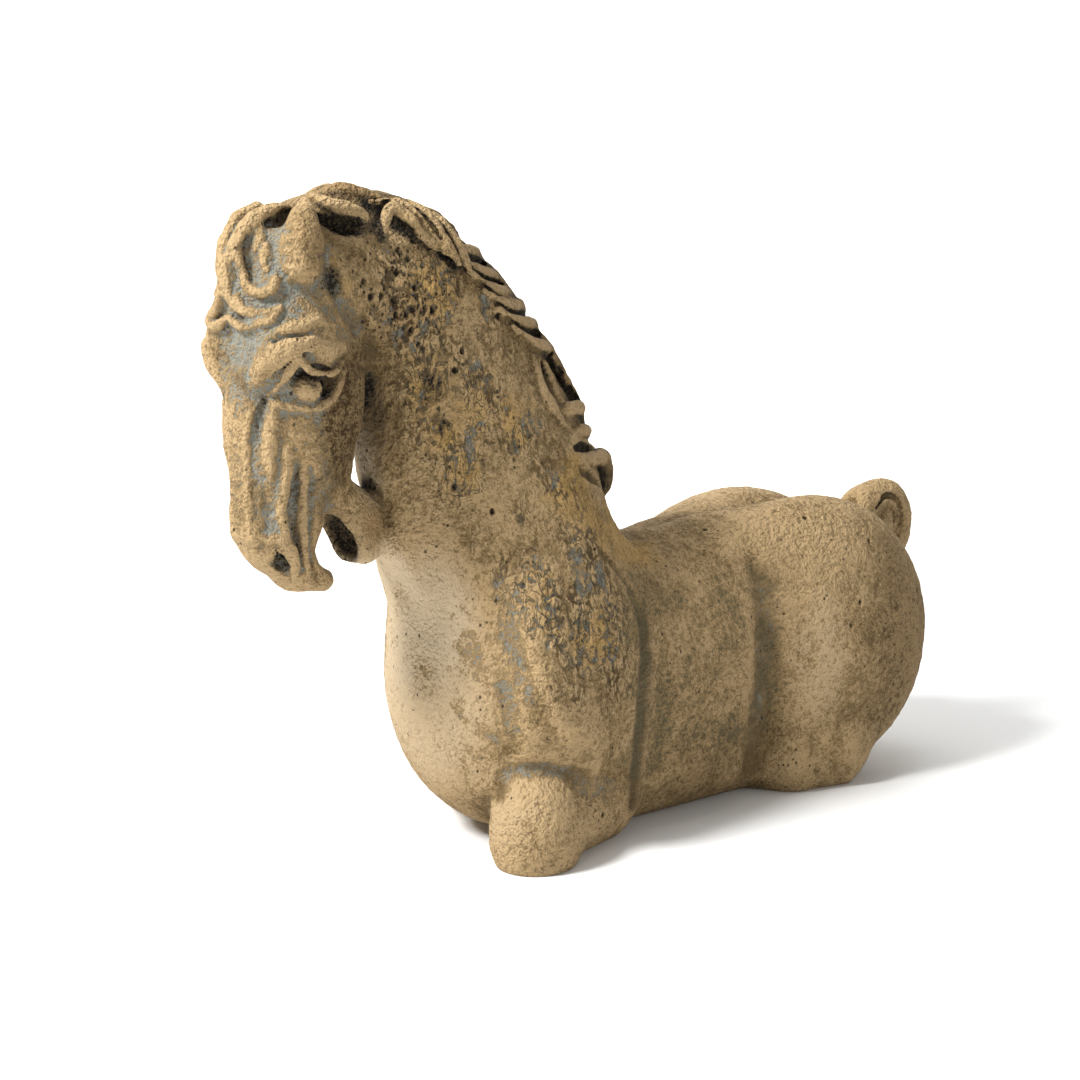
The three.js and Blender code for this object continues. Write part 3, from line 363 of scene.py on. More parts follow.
def carve_forelock():
    for side in SIDES:
        add_head(cord(on(side, [[2.4, -12.4, 95.5], [2, -14.4, 95], [1.8, -16.6, 94], [1.3, -18.3, 92.2],
            [1.3, -19.4, 90], [2, -19.3, 88], [2.7, -19, 86.6]]), [1, 1.3, 1.3, 1.2, 1, 0.7, 0.4]), 0.6)
        add_head(cord(on(side, [[0.9, -19.6, 90.6], [0.4, -20.3, 87.6], [0.6, -20.4, 84.7],
            [2.2, -19.9, 82.7], [4.2, -19.2, 81.7], [6.1, -18.2, 81.8], [7.2, -17, 82.6]]),
            [0.7, 0.9, 1, 1, 0.9, 0.7, 0.4]), 0.5)
        back = 0.5 if side < 0 else 0
        add_head(cord(on(side, [[2.2, back - 19.4, 86.9], [2.7, back - 19.2, 85.6],
            [3.8, back - 18.9, 84.7], [5, back - 18.3, 84.3], [5.9, back - 17.3, 84.9],
            [5.9, back - 16.9, 86]]), [0.35, 0.55, 0.65, 0.7, 0.85, 0.7]), 0.4)
        add_head(cord(on(side, [[0.3, -20.1, 81.2], [1.7, -20.1, 80.4], [3.5, -19.6, 80],
            [5.4, -19, 80.4], [6.9, -18.1, 81.1], [7.4, -17.2, 82]]),
            [0.5, 0.7, 0.75, 0.75, 0.65, 0.35]), 0.5)
        add_head(cord(on(side, [[2.9, -16.7, 93], [3.6, -17.3, 91.4], [3.2, -17.9, 89.8]]),
            [0.3, 0.5, 0.3]), 0.7)
        add_head(cord(on(side, [[4.6, -17, 90.6], [4.4, -17.5, 89], [4.9, -17.3, 87.4]]),
            [0.3, 0.5, 0.3]), 0.7)
        cut_head(cord(on(side, [[2.4, -18.2, 91.5], [2.7, -18.7, 90.4], [3, -18.8, 89.4]]),
            [0.45, 0.7, 0.4]), 0.3)
        cut_head(cord(on(side, [[3.1, -15.4, 93.5], [3.7, -14.2, 93.8], [3.3, -12.8, 94.9]]),
            [0.6, 0.9, 0.6]), 0.4)


# The mane: a ridge along the crest, with locks that roll over it to the right side
CREST = [[0, -55, 96.4], [0, -47, 95.6], [0, -40.6, 92.8], [0, -34, 87], [0, -25.2, 78.5],
         [0, -18, 69], [0, -13, 60], [0, -8.5, 55]]
crest_at = even_curve(CREST)
LOCKS = 13


def shape_mane():
    add(cord(CREST, [3.2, 3.2, 2.8, 2.5, 2.3]), 2.5)
    for side in SIDES:
        add(cord(on(side, [[4.8, -44, 92.4], [6, -38, 88], [6.2, -32, 81.6], [5.6, -25.6, 74.2],
            [4.4, -19.4, 66.2]]), [1, 2, 2.1, 2, 1]), 1.6)


def path_of_lock(start, sweep, steps, near_edge, lift):
    points = []
    for s in np.linspace(0, 1, steps + 1):
        place, run = crest_at(start + sweep * s ** 0.8)
        x = math.cos(math.pi * s) * (near_edge if s < 0.5 else 8.6)
        rise = min(lift, 3.1 - 0.079 * x * x)
        points.append([x, place[1] - run[2] * rise, place[2] + run[1] * rise])
    return points


def carve_locks():
    """Locks that start at the near edge, sweep back and roll over the crest to the far side."""
    for i in range(LOCKS):
        start = 0.02 + 0.72 * i / LOCKS
        edge = 8.6 + 3 * (start - 0.2) if 0.15 < start < 0.5 else 5.4
        lift = min(1.2 + 3.5 * start, 2.2 - 1.5 * start) + 0.2 * math.sin(2.1 * i)
        sweep = 0.33 + 0.03 * math.sin(1.7 * i)
        swell = 1.3 + 0.2 * math.sin(2.3 * i)
        add(cord(path_of_lock(start, sweep, 8, edge, lift), [0.4, 1, swell, swell, swell, 0.7], 12), 0.5)
        gap = path_of_lock(start + 0.032, sweep, 8, edge, lift + 0.8)
        cut(cord(gap[:5], [0.4, 0.65, 0.5, 0.3], 8), 0.4)
        cut(cord(gap[4:], [0.3, 0.35, 0.35, 0.3], 8), 0.4)


def carve_poll():
    for side in SIDES:
        add(cord(on(side, [[1.2, -61, 96.6], [1.8, -56.4, 98.4], [2.6, -51.6, 97.3], [3.6, -48, 96]]),
            [1, 1.6, 1.5, 0.9]), 0.7)
        cut(cord(on(side, [[5.2, -63, 94.8], [5.8, -61.4, 93.7], [6.2, -59.6, 93.5], [6.5, -57.4, 93.6],
            [7, -55.2, 94]]), [0.5, 1.3, 1.4, 1.3, 0.5]), 0.3)
        add(cord(on(side, [[3.8, -61.8, 97.5], [5.8, -61.2, 96.6], [6.8, -59.4, 96], [7.2, -57.4, 95.7],
            [7.3, -55.3, 94.8]]), [0.6, 0.9, 1, 0.9, 0.5]), 0.4)
        cut(cord(on(side, [[4, -60.2, 98], [5, -58.2, 97.2], [5.8, -56, 96.4], [6.6, -54.2, 95.4]]),
            [0.2, 0.5, 0.6, 0.7]), 0.3)
        add(cord(on(side, [[7.9, -52.9, 92.9], [8.1, -52.9, 94.8], [7.5, -51.6, 96.2],
            [7.8, -50.2, 95.7], [8.4, -48.9, 94.4], [8, -46.9, 92.7], [8.4, -44.6, 90.6]]),
            [0.4, 0.8, 0.9, 0.9, 0.9, 0.8, 0.4]), 0.3)
        cut(cord(on(side, [[8.3, -52, 93.2], [8.3, -50.6, 93.4], [8.2, -49.2, 93]]),
            [0.7, 1.1, 0.7]), 0.3)
        cut(cord(on(side, [[7.4, -54.6, 94.8], [6.8, -53.8, 96], [5.6, -52.8, 97]]),
            [0.7, 0.8, 0.4]), 0.3)
        add(cord(on(side, [[4, -50.6, 97.4], [6.2, -49, 96.6], [8, -47.6, 94.7], [8.4, -45.6, 92.6],
            [9, -43.8, 90.4]]), [0.6, 0.9, 0.9, 0.8, 0.4]), 0.3)
        cut(cord(on(side, [[6.4, -49.8, 97.2], [8.2, -48.4, 95.6], [8.9, -46.6, 93.4],
            [9.2, -44.8, 91.2]]), [0.2, 0.35, 0.35, 0.2]), 0.2)
        add(cord(on(side, [[3.6, -46.8, 97.2], [6.6, -46.2, 96], [8.6, -44.6, 93.2], [9.1, -43, 90.8],
            [9.3, -41.6, 88.8]]), [0.7, 1, 1, 0.8, 0.4]), 0.3)
        cut(cord(on(side, [[6.4, -47.6, 96.8], [8.5, -46, 94.4], [9.3, -44.2, 91.8]]),
            [0.2, 0.4, 0.2]), 0.2)
        add(cord(on(side, [[3.4, -43.4, 96], [6.6, -43, 94.6], [8.6, -41.4, 91.4], [9.1, -39.8, 88.6]]),
            [0.7, 1, 1, 0.5]), 0.3)
        cut(cord(on(side, [[5.8, -44.6, 95.8], [8.2, -43.4, 93.2], [9.3, -41.6, 90.2]]),
            [0.2, 0.4, 0.2]), 0.2)


def carve_strand():
    """The long flat strand low on the near side, and the curled tuft where the mane ends."""
    cut(cord([[7.4, -25.4, 74.4], [8.2, -24, 71.2], [9, -22.4, 68.4]], [0.5, 1.2, 0.6]), 0.6)
    add(cord([[8.3, -27.6, 75.4], [8.9, -27.4, 73], [9.7, -27, 70.4], [10, -25.8, 68],
              [10.1, -24, 66], [10.3, -22.6, 64.8]], [0.5, 0.9, 1.1, 1.1, 0.9, 0.4]), 0.3)
    add(cord([[9.6, -23.2, 66.8], [8.6, -20.6, 67.4], [6.6, -17.4, 67.4], [3.6, -14.6, 66.6]],
             [0.5, 1.1, 1.2, 0.8]), 0.3)
    add(cord([[10.4, -22.4, 63.4], [9, -19.2, 64], [6.6, -16, 63.8], [3.6, -13.4, 62.8]],
             [0.5, 1, 1.1, 0.8]), 0.3)
    cut(cord([[11, -21.8, 61.6], [9.6, -18.8, 61.6], [7.2, -15.6, 61]], [0.5, 1, 0.6]), 0.3)
    cut(cord([[12, -21, 58.2], [11.2, -18.6, 57.2], [9.6, -15.6, 55.8]], [0.5, 1, 0.5]), 0.6)
    add(cord([[11.6, -21.8, 60], [9.8, -17.8, 59.6], [6.8, -13.6, 59.4], [3.8, -10.4, 59],
              [2, -8.4, 57], [1.4, -8, 54.4], [1, -9.4, 52]], [0.5, 0.8, 1.2, 1.7, 1.8, 1.6, 0.8]), 0.6)
    add(cord([[-3, -13, 61.6], [-1.6, -9, 59.6], [-0.6, -7.4, 57], [-1.4, -8.2, 54], [-1.6, -9.8, 52]],
             [1.2, 1.6, 1.6, 1.4, 0.9]), 0.8)


shape_trunk()
shape_haunches()
shape_shoulders()
shape_neck()
shape_forelegs()
shape_tail()
carve_body()
shape_skull()
shape_jaw()
shape_forelock()
shape_mane()
carve_creases()
shape_ears()
carve_eyes()
carve_muzzle()
carve_forelock()
carve_locks()
carve_poll()
carve_strand()


# The field: strokes blended one after another, in the order they were laid

def to_head(p):
    c, s = math.cos(HEAD_TURN), math.sin(HEAD_TURN)
    turn = np.array([[c, -s, 0], [s, c, 0], [0, 0, 1]], np.float32)
    return (p - HEAD_PIVOT.astype(np.float32)) @ turn


def blend(value, distance, soft, cutting):
    if cutting:
        result = np.maximum(value, -distance)
        gap = np.abs(value + distance)
    else:
        result = np.minimum(value, distance)
        gap = np.abs(value - distance)
    if soft > 0:
        rounding = np.maximum(soft - gap, 0) / soft
        rounding = rounding * rounding * soft / 4
        result = result + rounding if cutting else result - rounding
    return result


def field_at(centres, offsets, margin):
    """The field at each centre plus each offset, near the strokes that reach there."""
    spread = float(np.linalg.norm(offsets, axis=1).max())
    value = np.full((len(centres), len(offsets)), 1e3, np.float32)
    head_centres = to_head(centres)
    head_offsets = to_head(offsets + HEAD_PIVOT.astype(np.float32))
    for low, high, distance, soft, in_head, cutting in strokes:
        place, shift = (head_centres, head_offsets) if in_head else (centres, offsets)
        grown = soft + margin + spread
        close = np.all((place > low - grown) & (place < high + grown), axis=1).nonzero()[0]
        for part in np.array_split(close, len(close) * len(offsets) // 400000 + 1):
            p = (place[part][:, None, :] + shift[None, :, :]).reshape(-1, 3)
            d = distance(p).astype(np.float32).reshape(len(part), len(offsets))
            value[part] = blend(value[part], d, soft, cutting)
    return value


def sample_grid(low, blocks):
    """Signed distances over a grid, worked out only in the blocks near the skin."""
    reach = BLOCK * STEP * math.sqrt(3) / 2
    corners = np.stack(np.meshgrid(*(np.arange(n) for n in blocks), indexing="ij"), axis=-1).reshape(-1, 3)
    centres = (low + (corners + 0.5) * BLOCK * STEP - STEP / 2).astype(np.float32)
    rough = field_at(centres, np.zeros((1, 3), np.float32), 1.3 * reach)[:, 0]
    live = np.abs(rough) < 1.35 * reach
    grid = np.empty([n * BLOCK for n in blocks], np.float32)
    cells = grid.reshape(blocks[0], BLOCK, blocks[1], BLOCK, blocks[2], BLOCK).transpose(0, 2, 4, 1, 3, 5)
    cells[:] = np.where(rough < 0, -1e3, 1e3).astype(np.float32).reshape(*blocks, 1, 1, 1)
    steps = (np.arange(BLOCK) - BLOCK / 2 + 0.5) * STEP
    offsets = np.stack(np.meshgrid(steps, steps, steps, indexing="ij"), axis=-1)
    offsets = offsets.reshape(-1, 3).astype(np.float32)
    values = field_at(centres[live], offsets, 0.8)
    i, j, k = corners[live].T
    cells[i, j, k] = values.reshape(-1, BLOCK, BLOCK, BLOCK)
    return grid


def skin_of(grid, low):
    """Surface nets: one vertex in each cell that the skin crosses, joined by quads."""
    inside = grid < 0
    nx, ny, nz = grid.shape
    count = np.zeros((nx - 1, ny - 1, nz - 1), np.uint8)
    corners = [(a, b, c) for a in (0, 1) for b in (0, 1) for c in (0, 1)]
    for a, b, c in corners:
        count += inside[a:nx - 1 + a, b:ny - 1 + b, c:nz - 1 + c]
    cells = np.argwhere((count > 0) & (count < 8))
    values = {s: grid[cells[:, 0] + s[0], cells[:, 1] + s[1], cells[:, 2] + s[2]] for s in corners}
    total = np.zeros((len(cells), 3))
    hits = np.zeros(len(cells))
    for a in corners:
        for axis in range(3):
            if a[axis]:
                continue
            b = tuple(v + (n == axis) for n, v in enumerate(a))
            crossed = (values[a] < 0) != (values[b] < 0)
            t = np.where(crossed, values[a] / np.where(crossed, values[a] - values[b], 1), 0)
            spot = np.array(a, float) + t[:, None] * np.eye(3)[axis]
            total += spot * crossed[:, None]
            hits += crossed
    points = low + (cells + total / hits[:, None]) * STEP
    names = np.ravel_multi_index(cells.T, grid.shape)
    quads = []
    for axis in range(3):
        one, two = (axis + 1) % 3, (axis + 2) % 3
        first = [slice(None)] * 3
        second = [slice(None)] * 3
        first[axis], second[axis] = slice(0, -1), slice(1, None)
        edges = np.argwhere(inside[tuple(first)] != inside[tuple(second)])
        ring = []
        for du, dv in ((0, 0), (-1, 0), (-1, -1), (0, -1)):
            cell = edges.copy()
            cell[:, one] += du
            cell[:, two] += dv
            ring.append(np.searchsorted(names, np.ravel_multi_index(cell.T, grid.shape)))
        ring = np.stack(ring, axis=1)
        out = inside[tuple(edges.T)]
        ring[~out] = ring[~out][:, ::-1]
        quads.append(ring)
    return points, np.concatenate(quads)


# Noise over points in space, from hashed lattice cells

def hashed(cell, seed):
    i, j, k = (cell[:, axis].astype(np.int64).astype(np.uint32) for axis in range(3))
    h = i * np.uint32(374761393) + j * np.uint32(668265263) + k * np.uint32(2246822519)
    h = h + np.uint32(seed * 40503 + 77)
    h = (h ^ (h >> np.uint32(15))) * np.uint32(2246822519)
    h = (h ^ (h >> np.uint32(13))) * np.uint32(3266489917)
    return h ^ (h >> np.uint32(16))


def noise(p, size, seed=0):
    """Gradient noise between about -1 and 1, with features of the given size."""
    q = p / size
    base = np.floor(q)
    w = q - base
    ease = w * w * w * (w * (w * 6 - 15) + 10)
    total = np.zeros(len(p))
    for corner in np.ndindex(2, 2, 2):
        h = hashed(base + corner, seed)
        slope = np.stack([(h >> np.uint32(shift)) & np.uint32(1023) for shift in (0, 10, 20)], axis=1)
        slope = slope / 511.5 - 1
        share = np.prod(np.where(corner, ease, 1 - ease), axis=1)
        total += share * np.einsum("ij,ij->i", slope, w - corner)
    return total * 1.6


def layered(p, size, seed=0, layers=3):
    total = sum(noise(p, size / 2 ** n, seed + n) / 2 ** n for n in range(layers))
    return total / 1.5


def dots(p, size, seed=0):
    """Distance to the nearest scattered point, in cell sizes, and that point's own chance."""
    q = p / size
    base = np.floor(q)
    best = np.full(len(p), 9.0)
    chance = np.zeros(len(p))
    for shift in np.ndindex(3, 3, 3):
        cell = base + np.array(shift) - 1
        h = hashed(cell, seed)
        spot = np.stack([(h >> np.uint32(n)) & np.uint32(1023) for n in (0, 10, 20)], axis=1) / 1023
        d = np.linalg.norm(cell + 0.15 + 0.7 * spot - q, axis=1)
        closer = d < best
        best[closer] = d[closer]
        chance[closer] = (hashed(cell, seed + 91)[closer] & np.uint32(65535)) / 65535
    return best, chance


def ramp(value, low, high):
    t = np.clip((value - low) / (high - low), 0, 1)
    return t * t * (3 - 2 * t)


def spot_of(p, centre, radii):
    """1 at the middle of a soft egg-shaped patch, 0 outside it."""
    d = np.linalg.norm((p - np.array(centre)) / np.array(radii), axis=1)
    return ramp(d, 1, 0.3)


# Mesh helpers

def normals_of(points, quads):
    a, b, c, d = (points[quads[:, n]] for n in range(4))
    face = np.cross(c - a, d - b)
    total = np.zeros_like(points)
    for n in range(4):
        for axis in range(3):
            total[:, axis] += np.bincount(quads[:, n], face[:, axis], len(points))
    return total / np.maximum(np.linalg.norm(total, axis=1), 1e-12)[:, None]


def mesh_from(name, points, quads):
    mesh = bpy.data.meshes.new(name)
    mesh.vertices.add(len(points))
    mesh.vertices.foreach_set("co", points.astype(np.float32).ravel())
    mesh.loops.add(quads.size)
    mesh.loops.foreach_set("vertex_index", quads.astype(np.int32).ravel())
    mesh.polygons.add(len(quads))
    mesh.polygons.foreach_set("loop_start", np.arange(0, quads.size, 4, dtype=np.int32))
    mesh.update(calc_edges=True)
    mesh.validate()
    return mesh


def main_shell(points, quads):
    """Only the largest connected skin is kept."""
    label = np.arange(len(points))
    while True:
        lowest = label[quads].min(axis=1)
        new = label.copy()
        for n in range(4):
            np.minimum.at(new, quads[:, n], lowest)
        new = new[new]
        if np.array_equal(new, label):
            break
        label = new
    kept = label == np.bincount(label).argmax()
    order = np.cumsum(kept) - 1
    return points[kept], order[quads[kept[quads].all(axis=1)]]


def build_skin():
    low = np.array([-26.0, -80.0, -1.05])
    blocks = [math.ceil((high - start) / (BLOCK * STEP)) for start, high in zip(low, (26, 78, 101.5))]
    grid = sample_grid(low, blocks)
    ground = low[2] + np.arange(grid.shape[2]) * STEP
    np.maximum(grid, -ground[None, None, :].astype(np.float32), out=grid)
    points, quads = skin_of(grid, low)
    del grid
    return main_shell(points, quads)


# The surface: where the clay is pitted, wormed, worn, stained or smooth, and where light and shade are
# painted onto it.
# How far off the skin the open air is felt, in shares, and the rounds of smoothing
# that its fine, middle and broad rises are measured against.
NEAR_AIR, FAR_AIR = 1.6, 5.5
FINE_ROUNDS, MIDDLE_ROUNDS, BROAD_ROUNDS = 6, 40, 220


def smoothed(values, quads, rounds):
    """Values averaged over neighbours along the mesh edges, a number of times."""
    count = len(values)
    ends = np.concatenate([quads[:, [0, 1]], quads[:, [1, 2]], quads[:, [2, 3]], quads[:, [3, 0]]])
    share = 1 / np.maximum(np.bincount(ends[:, 0], minlength=count), 1)
    flat = values.reshape(count, -1)
    for _ in range(rounds):
        columns = [np.bincount(ends[:, 0], column[ends[:, 1]], count) * share for column in flat.T]
        flat = np.stack(columns, axis=1)
    return flat.reshape(values.shape)


def band_of(p, path, reach):
    """1 along a path, falling to 0 at the given reach from it."""
    return ramp(cord(path, [0.01, 0.01])[2](p.astype(np.float32)), reach, 0.35 * reach)


def relief_of(p, head):
    """Height of the fine relief over the skin, in shares, with the pits and the worm-tracked band."""
    near = ramp(p[:, 0], 0, 4)
    band = band_of(p, [[9.6, -46, 84], [10.5, -41, 70], [12.5, -35, 58], [16, -30, 46], [19, -26, 32]], 14)
    band = np.maximum(band * near, 0.35 * band_of(p, [[-10, -42, 74], [-16, -30, 46]], 13))
    bent = p * (1, 1, 0.55) + 0.5 * np.stack([noise(p, 3, seed) for seed in (11, 12, 13)], axis=1)
    patch = layered(p * (1, 1, 0.5), 3.2, 31, 3)
    worm = band * ramp(layered(p, 9, 33, 2), -0.5, 0.1)
    groove = worm * ramp(np.abs(layered(bent, 1.6, 21, 2)), 0.2, 0.02) * ramp(noise(p, 2.6, 22), -0.5, 0.1)
    bare = worm * ramp(patch, -0.16, -0.42)
    cheek = spot_of(head, (7, -8, 66), (9, 13, 16))
    face = spot_of(head, (4, -14, 70), (14, 16, 42))
    throat = ramp(p[:, 0], 5, 0) * spot_of(p, (0, -47, 48), (9, 14, 26))
    calm = 1 - 0.4 * np.clip(throat + ramp(p[:, 0], 0, -6) * 0.5, 0, 1)
    pitted = spot_of(p, (9.4, -51, 84.5), (7, 8, 12)) + 0.06 * spot_of(p, (11, -38, 72), (9, 14, 26))
    distance, chance = dots(p * (1, 1, 0.7), 1.35, 41)
    pit = ramp(distance, 0.38, 0.22) * (chance < 0.004 + 0.7 * np.clip(pitted, 0, 1))
    height = 0.12 * layered(p, 7, 1, 2) + 0.08 * noise(p, 3.4, 7)
    height += calm * (0.09 * noise(p, 1.7, 2) + 0.07 * noise(p, 0.9, 3))
    height += 0.07 * face * noise(p * (1, 1, 0.7), 1.7, 4) + 0.1 * cheek * noise(p, 0.95, 6)
    height += 0.16 * worm * noise(bent, 1.2, 8) + 0.06 * worm - 0.3 * groove - 0.16 * bare - 0.45 * pit
    return height, pit, groove, bare, worm, pitted


def open_sky(p, normals, distance):
    """How open the skin is to its surroundings: 1 where nothing is near, 0 in deep hollows."""
    spots = (p + normals * distance).astype(np.float32)
    value = field_at(spots, np.zeros((1, 3), np.float32), distance * 1.2)[:, 0]
    return np.clip(value / distance, 0, 1)


def surface_of(points, quads):
    """The skin with its relief, and the openness and rises that the paint, dirt and painted shade are worked
    out from.
    """
    normals = normals_of(points, quads)
    head = to_head(points.astype(np.float32))
    height, *tracks = relief_of(points, head)
    height *= ramp(points[:, 2], 0.15, 1.5)
    sky_near = open_sky(points, normals, NEAR_AIR)
    sky_far = open_sky(points, normals, FAR_AIR)
    ripe = points + normals * height[:, None]
    fine = np.einsum("ij,ij->i", ripe - smoothed(ripe, quads, FINE_ROUNDS), normals)
    middle = np.einsum("ij,ij->i", ripe - smoothed(ripe, quads, MIDDLE_ROUNDS), normals)
    broad = np.einsum("ij,ij->i", ripe - smoothed(ripe, quads, BROAD_ROUNDS), normals)
    return ripe, head, tracks, (sky_near, sky_far), (fine, middle, broad)


def paints_of(p, head, tracks, open_air, rises):
    """Shares from 0 to 1, by name: dirt and painted shade in hollows and slots, tan on highs with painted
    highlights, and each tint of the clay, some carrying painted light or shade.
    """
    pit, groove, bare, worm, pitted = tracks
    sky_near, sky_far = open_air
    fine, middle, broad = rises
    near = ramp(p[:, 0], 0, 3)
    cloud = layered(p, 9, 61, 3)
    grain = layered(p, 2.6, 62, 3)
    mane = band_of(p, CREST, 10)
    # The lower near side of the mane, darkened further: darker hair and painted shade.
    dark_and_shaded_low_mane = band_of(p, CREST[2:], 10) * ramp(p[:, 0], -3, 2)
    ear = spot_of(head, (8.5, -12.5, 91.5), (7, 7, 9))
    face = spot_of(head, (4, -14, 70), (14, 16, 42))
    locks = spot_of(head, (2, -18, 87), (9, 6, 13))
    cheek = spot_of(head, (8, -4, 66), (8, 11, 17))
    hollow = np.clip(-middle * 1.4 - broad * 0.4, 0, 1)
    # Dirt share: real dirt together with painted shade. It is darker where the skin is closed in, in hollows,
    # between the mane locks, and on and below the cheek; the pits and tracks hold the clay's own dirt.
    dirt_and_shade = ramp(sky_near, 0.5, 0.1) * 0.9 + ramp(sky_far, 0.4, 0.05) * 0.5 + 0.4 * ramp(hollow, 0.3, 0.9)
    dirt_and_shade += 1.2 * pit + 0.4 * groove + 0.5 * cheek * ramp(grain, -0.4, 0.4)
    dirt_and_shade += 0.75 * spot_of(p, (9, -44.5, 70), (4, 5, 10)) * ramp(grain, -0.3, 0.4)
    dirt_and_shade *= 1 - 0.4 * face
    dirt_and_shade += 0.45 * spot_of(head, (7, -8, 59), (6, 8, 10)) * ramp(grain, -0.5, 0.4)
    dirt_and_shade += 0.5 * mane * ramp(layered(p, 2, 65, 2), -0.2, 0.5) + 0.9 * spot_of(head, (0, 0, 50), (5, 4, 6))
    dirt_and_shade += (0.45 + 0.5 * dark_and_shaded_low_mane) * mane * ramp(middle, 0.15, -0.2) + 0.3 * dark_and_shaded_low_mane
    # Dark in the muzzle fold, the poll slots, the mane holes, the nostrils, the eye hollows and the slot
    # behind the ear is mostly painted shade; the small spot on the eye is the pupil mark.
    for side in SIDES:
        fold = on(side, [[4.4, -18, 70.4], [3.6, -18.6, 67.5], [3.2, -19, 63]])
        dirt_and_shade += 0.8 * band_of(head, fold, 1.1)
        dirt_and_shade += 0.5 * spot_of(head, (side * 9.3, -13, 71.8), (0.8, 0.9, 0.8))
        dirt_and_shade += 1.4 * spot_of(p, (side * 6.2, -59, 93.4), (2.6, 6, 2.6))
        dirt_and_shade += 1.4 * spot_of(p, (side * 8.2, -50.6, 93.2), (2, 2.8, 2))
        dirt_and_shade += 1.4 * spot_of(head, (side * 3, -14.7, 48.6), (1.6, 2.2, 3.2))
        dirt_and_shade += 1.2 * spot_of(head, (side * 9.2, -13.8, 73.6), (1.4, 2.4, 1.4))
        dirt_and_shade += 0.6 * spot_of(head, (side * 9.4, -10.6, 71.6), (1.2, 1.6, 2.4))
        dirt_and_shade += 1.1 * spot_of(head, (side * 8.2, -9, 86), (1.6, 2.6, 3.6))
    # Highs share: tan worn onto the raised clay, plus painted highlights on the chest, throat, neck, back and
    # haunch where the key light falls.
    wear_and_highlights = 0.4 + fine * 3.4 + middle * 0.9 + broad * 0.22 + 0.4 * cloud + 0.25 * grain
    wear_and_highlights += 0.32 * spot_of(p, (4, -44, 24), (16, 10, 26)) + 0.22 * spot_of(p, (14, 24, 40), (16, 20, 14))
    wear_and_highlights += 0.35 * spot_of(p, (7, -46, 42), (11, 10, 15)) + 0.15 * spot_of(p, (10, -42, 66), (12, 18, 40))
    wear_and_highlights += 0.2 * spot_of(p, (12, -8, 47), (14, 16, 8)) + 0.22 * spot_of(p, (17, 24, 26), (10, 9, 20))
    # Painted shade: darker bands along the shoulder crease and the flank valley.
    crease = band_of(p, [[17.6, -12.6, 36], [18.8, -13.6, 27], [18, -14, 14], [17, -14.4, 6]], 3.2)
    valley = band_of(p, [[16.4, 14.8, 38], [17, 15.4, 26], [16, 15, 12], [14.6, 14.7, 5]], 5)
    bluish = spot_of(p, (9, -42, 27), (13, 9, 18)) * ramp(layered(p, 5, 66, 3), -0.05, 0.3)
    dirt_and_shade += 0.45 * crease + 0.3 * valley
    # Less tan on the blue-grey patch, which is the clay's own colour, and painted shade low on the belly.
    wear_and_highlights -= 0.35 * crease + 0.3 * valley + 0.6 * bluish + 0.25 * spot_of(p, (16, 2, 8), (10, 16, 12))
    wear_and_highlights += 0.3 * worm * ramp(fine, 0, 0.1) + 0.08
    # Less tan on bare patches and in tracks; the cheek and lower mane are darker partly as painted shade, and
    # the rump as painted shade.
    wear_and_highlights -= 0.5 * bare + 0.6 * groove + 0.4 * cheek + 0.2 * spot_of(p, (20, 48, 26), (16, 20, 24))
    wear_and_highlights -= 0.3 * spot_of(head, (3, -18, 78), (9, 7, 12)) + 0.25 * locks + 0.22 * face + 0.35 * mane
    wear_and_highlights -= 0.45 * ear + 0.35 * dark_and_shaded_low_mane
    grey = 0.15 + 0.75 * face + 0.6 * locks + 0.7 * bare + 0.35 * worm - 0.6 * cheek + 0.8 * bluish
    knee_fold = [[16, -40, 36], [17, -38.5, 26], [15, -38, 16], [20, -28, 13], [19, -20, 9]]
    grey += 0.5 * band_of(p, knee_fold, 4.5)
    grey += 0.4 * spot_of(p, (16, -36, 34), (8, 8, 12)) + 0.35 * cloud
    ochre = 0.9 * spot_of(p, (10, -10, 48), (16, 18, 9)) + 0.5 * spot_of(p, (12, -24, 56), (8, 9, 12))
    ochre += 0.4 * spot_of(head, (7, -9, 84), (5, 9, 10)) + 0.35 * worm + 0.3 * cloud
    ochre += 0.15 * spot_of(p, (10, -44, 70), (12, 18, 34))
    # Brown share: the clay's brown on the mane, jaw, ear and in random patches, painted shade on the rump and
    # low belly, and on the cheek brown partly as painted shade.
    brown_and_shade = 0.8 * spot_of(p, (22, 50, 24), (16, 22, 26)) + 0.4 * spot_of(p, (17, 4, 10), (10, 26, 14))
    brown_and_shade += 0.9 * mane + 0.75 * spot_of(head, (2, 2, 52), (8, 5, 6)) + cheek + 0.7 * ear
    brown_and_shade += 0.5 * spot_of(p, (8.5, -50, 82), (6, 9, 12)) + 0.4 * layered(p, 12, 64, 2)
    green = spot_of(p, (17, 4, 26), (12, 30, 26)) + 0.8 * band_of(p, [[18, -13, 40], [17, -12, 14]], 8)
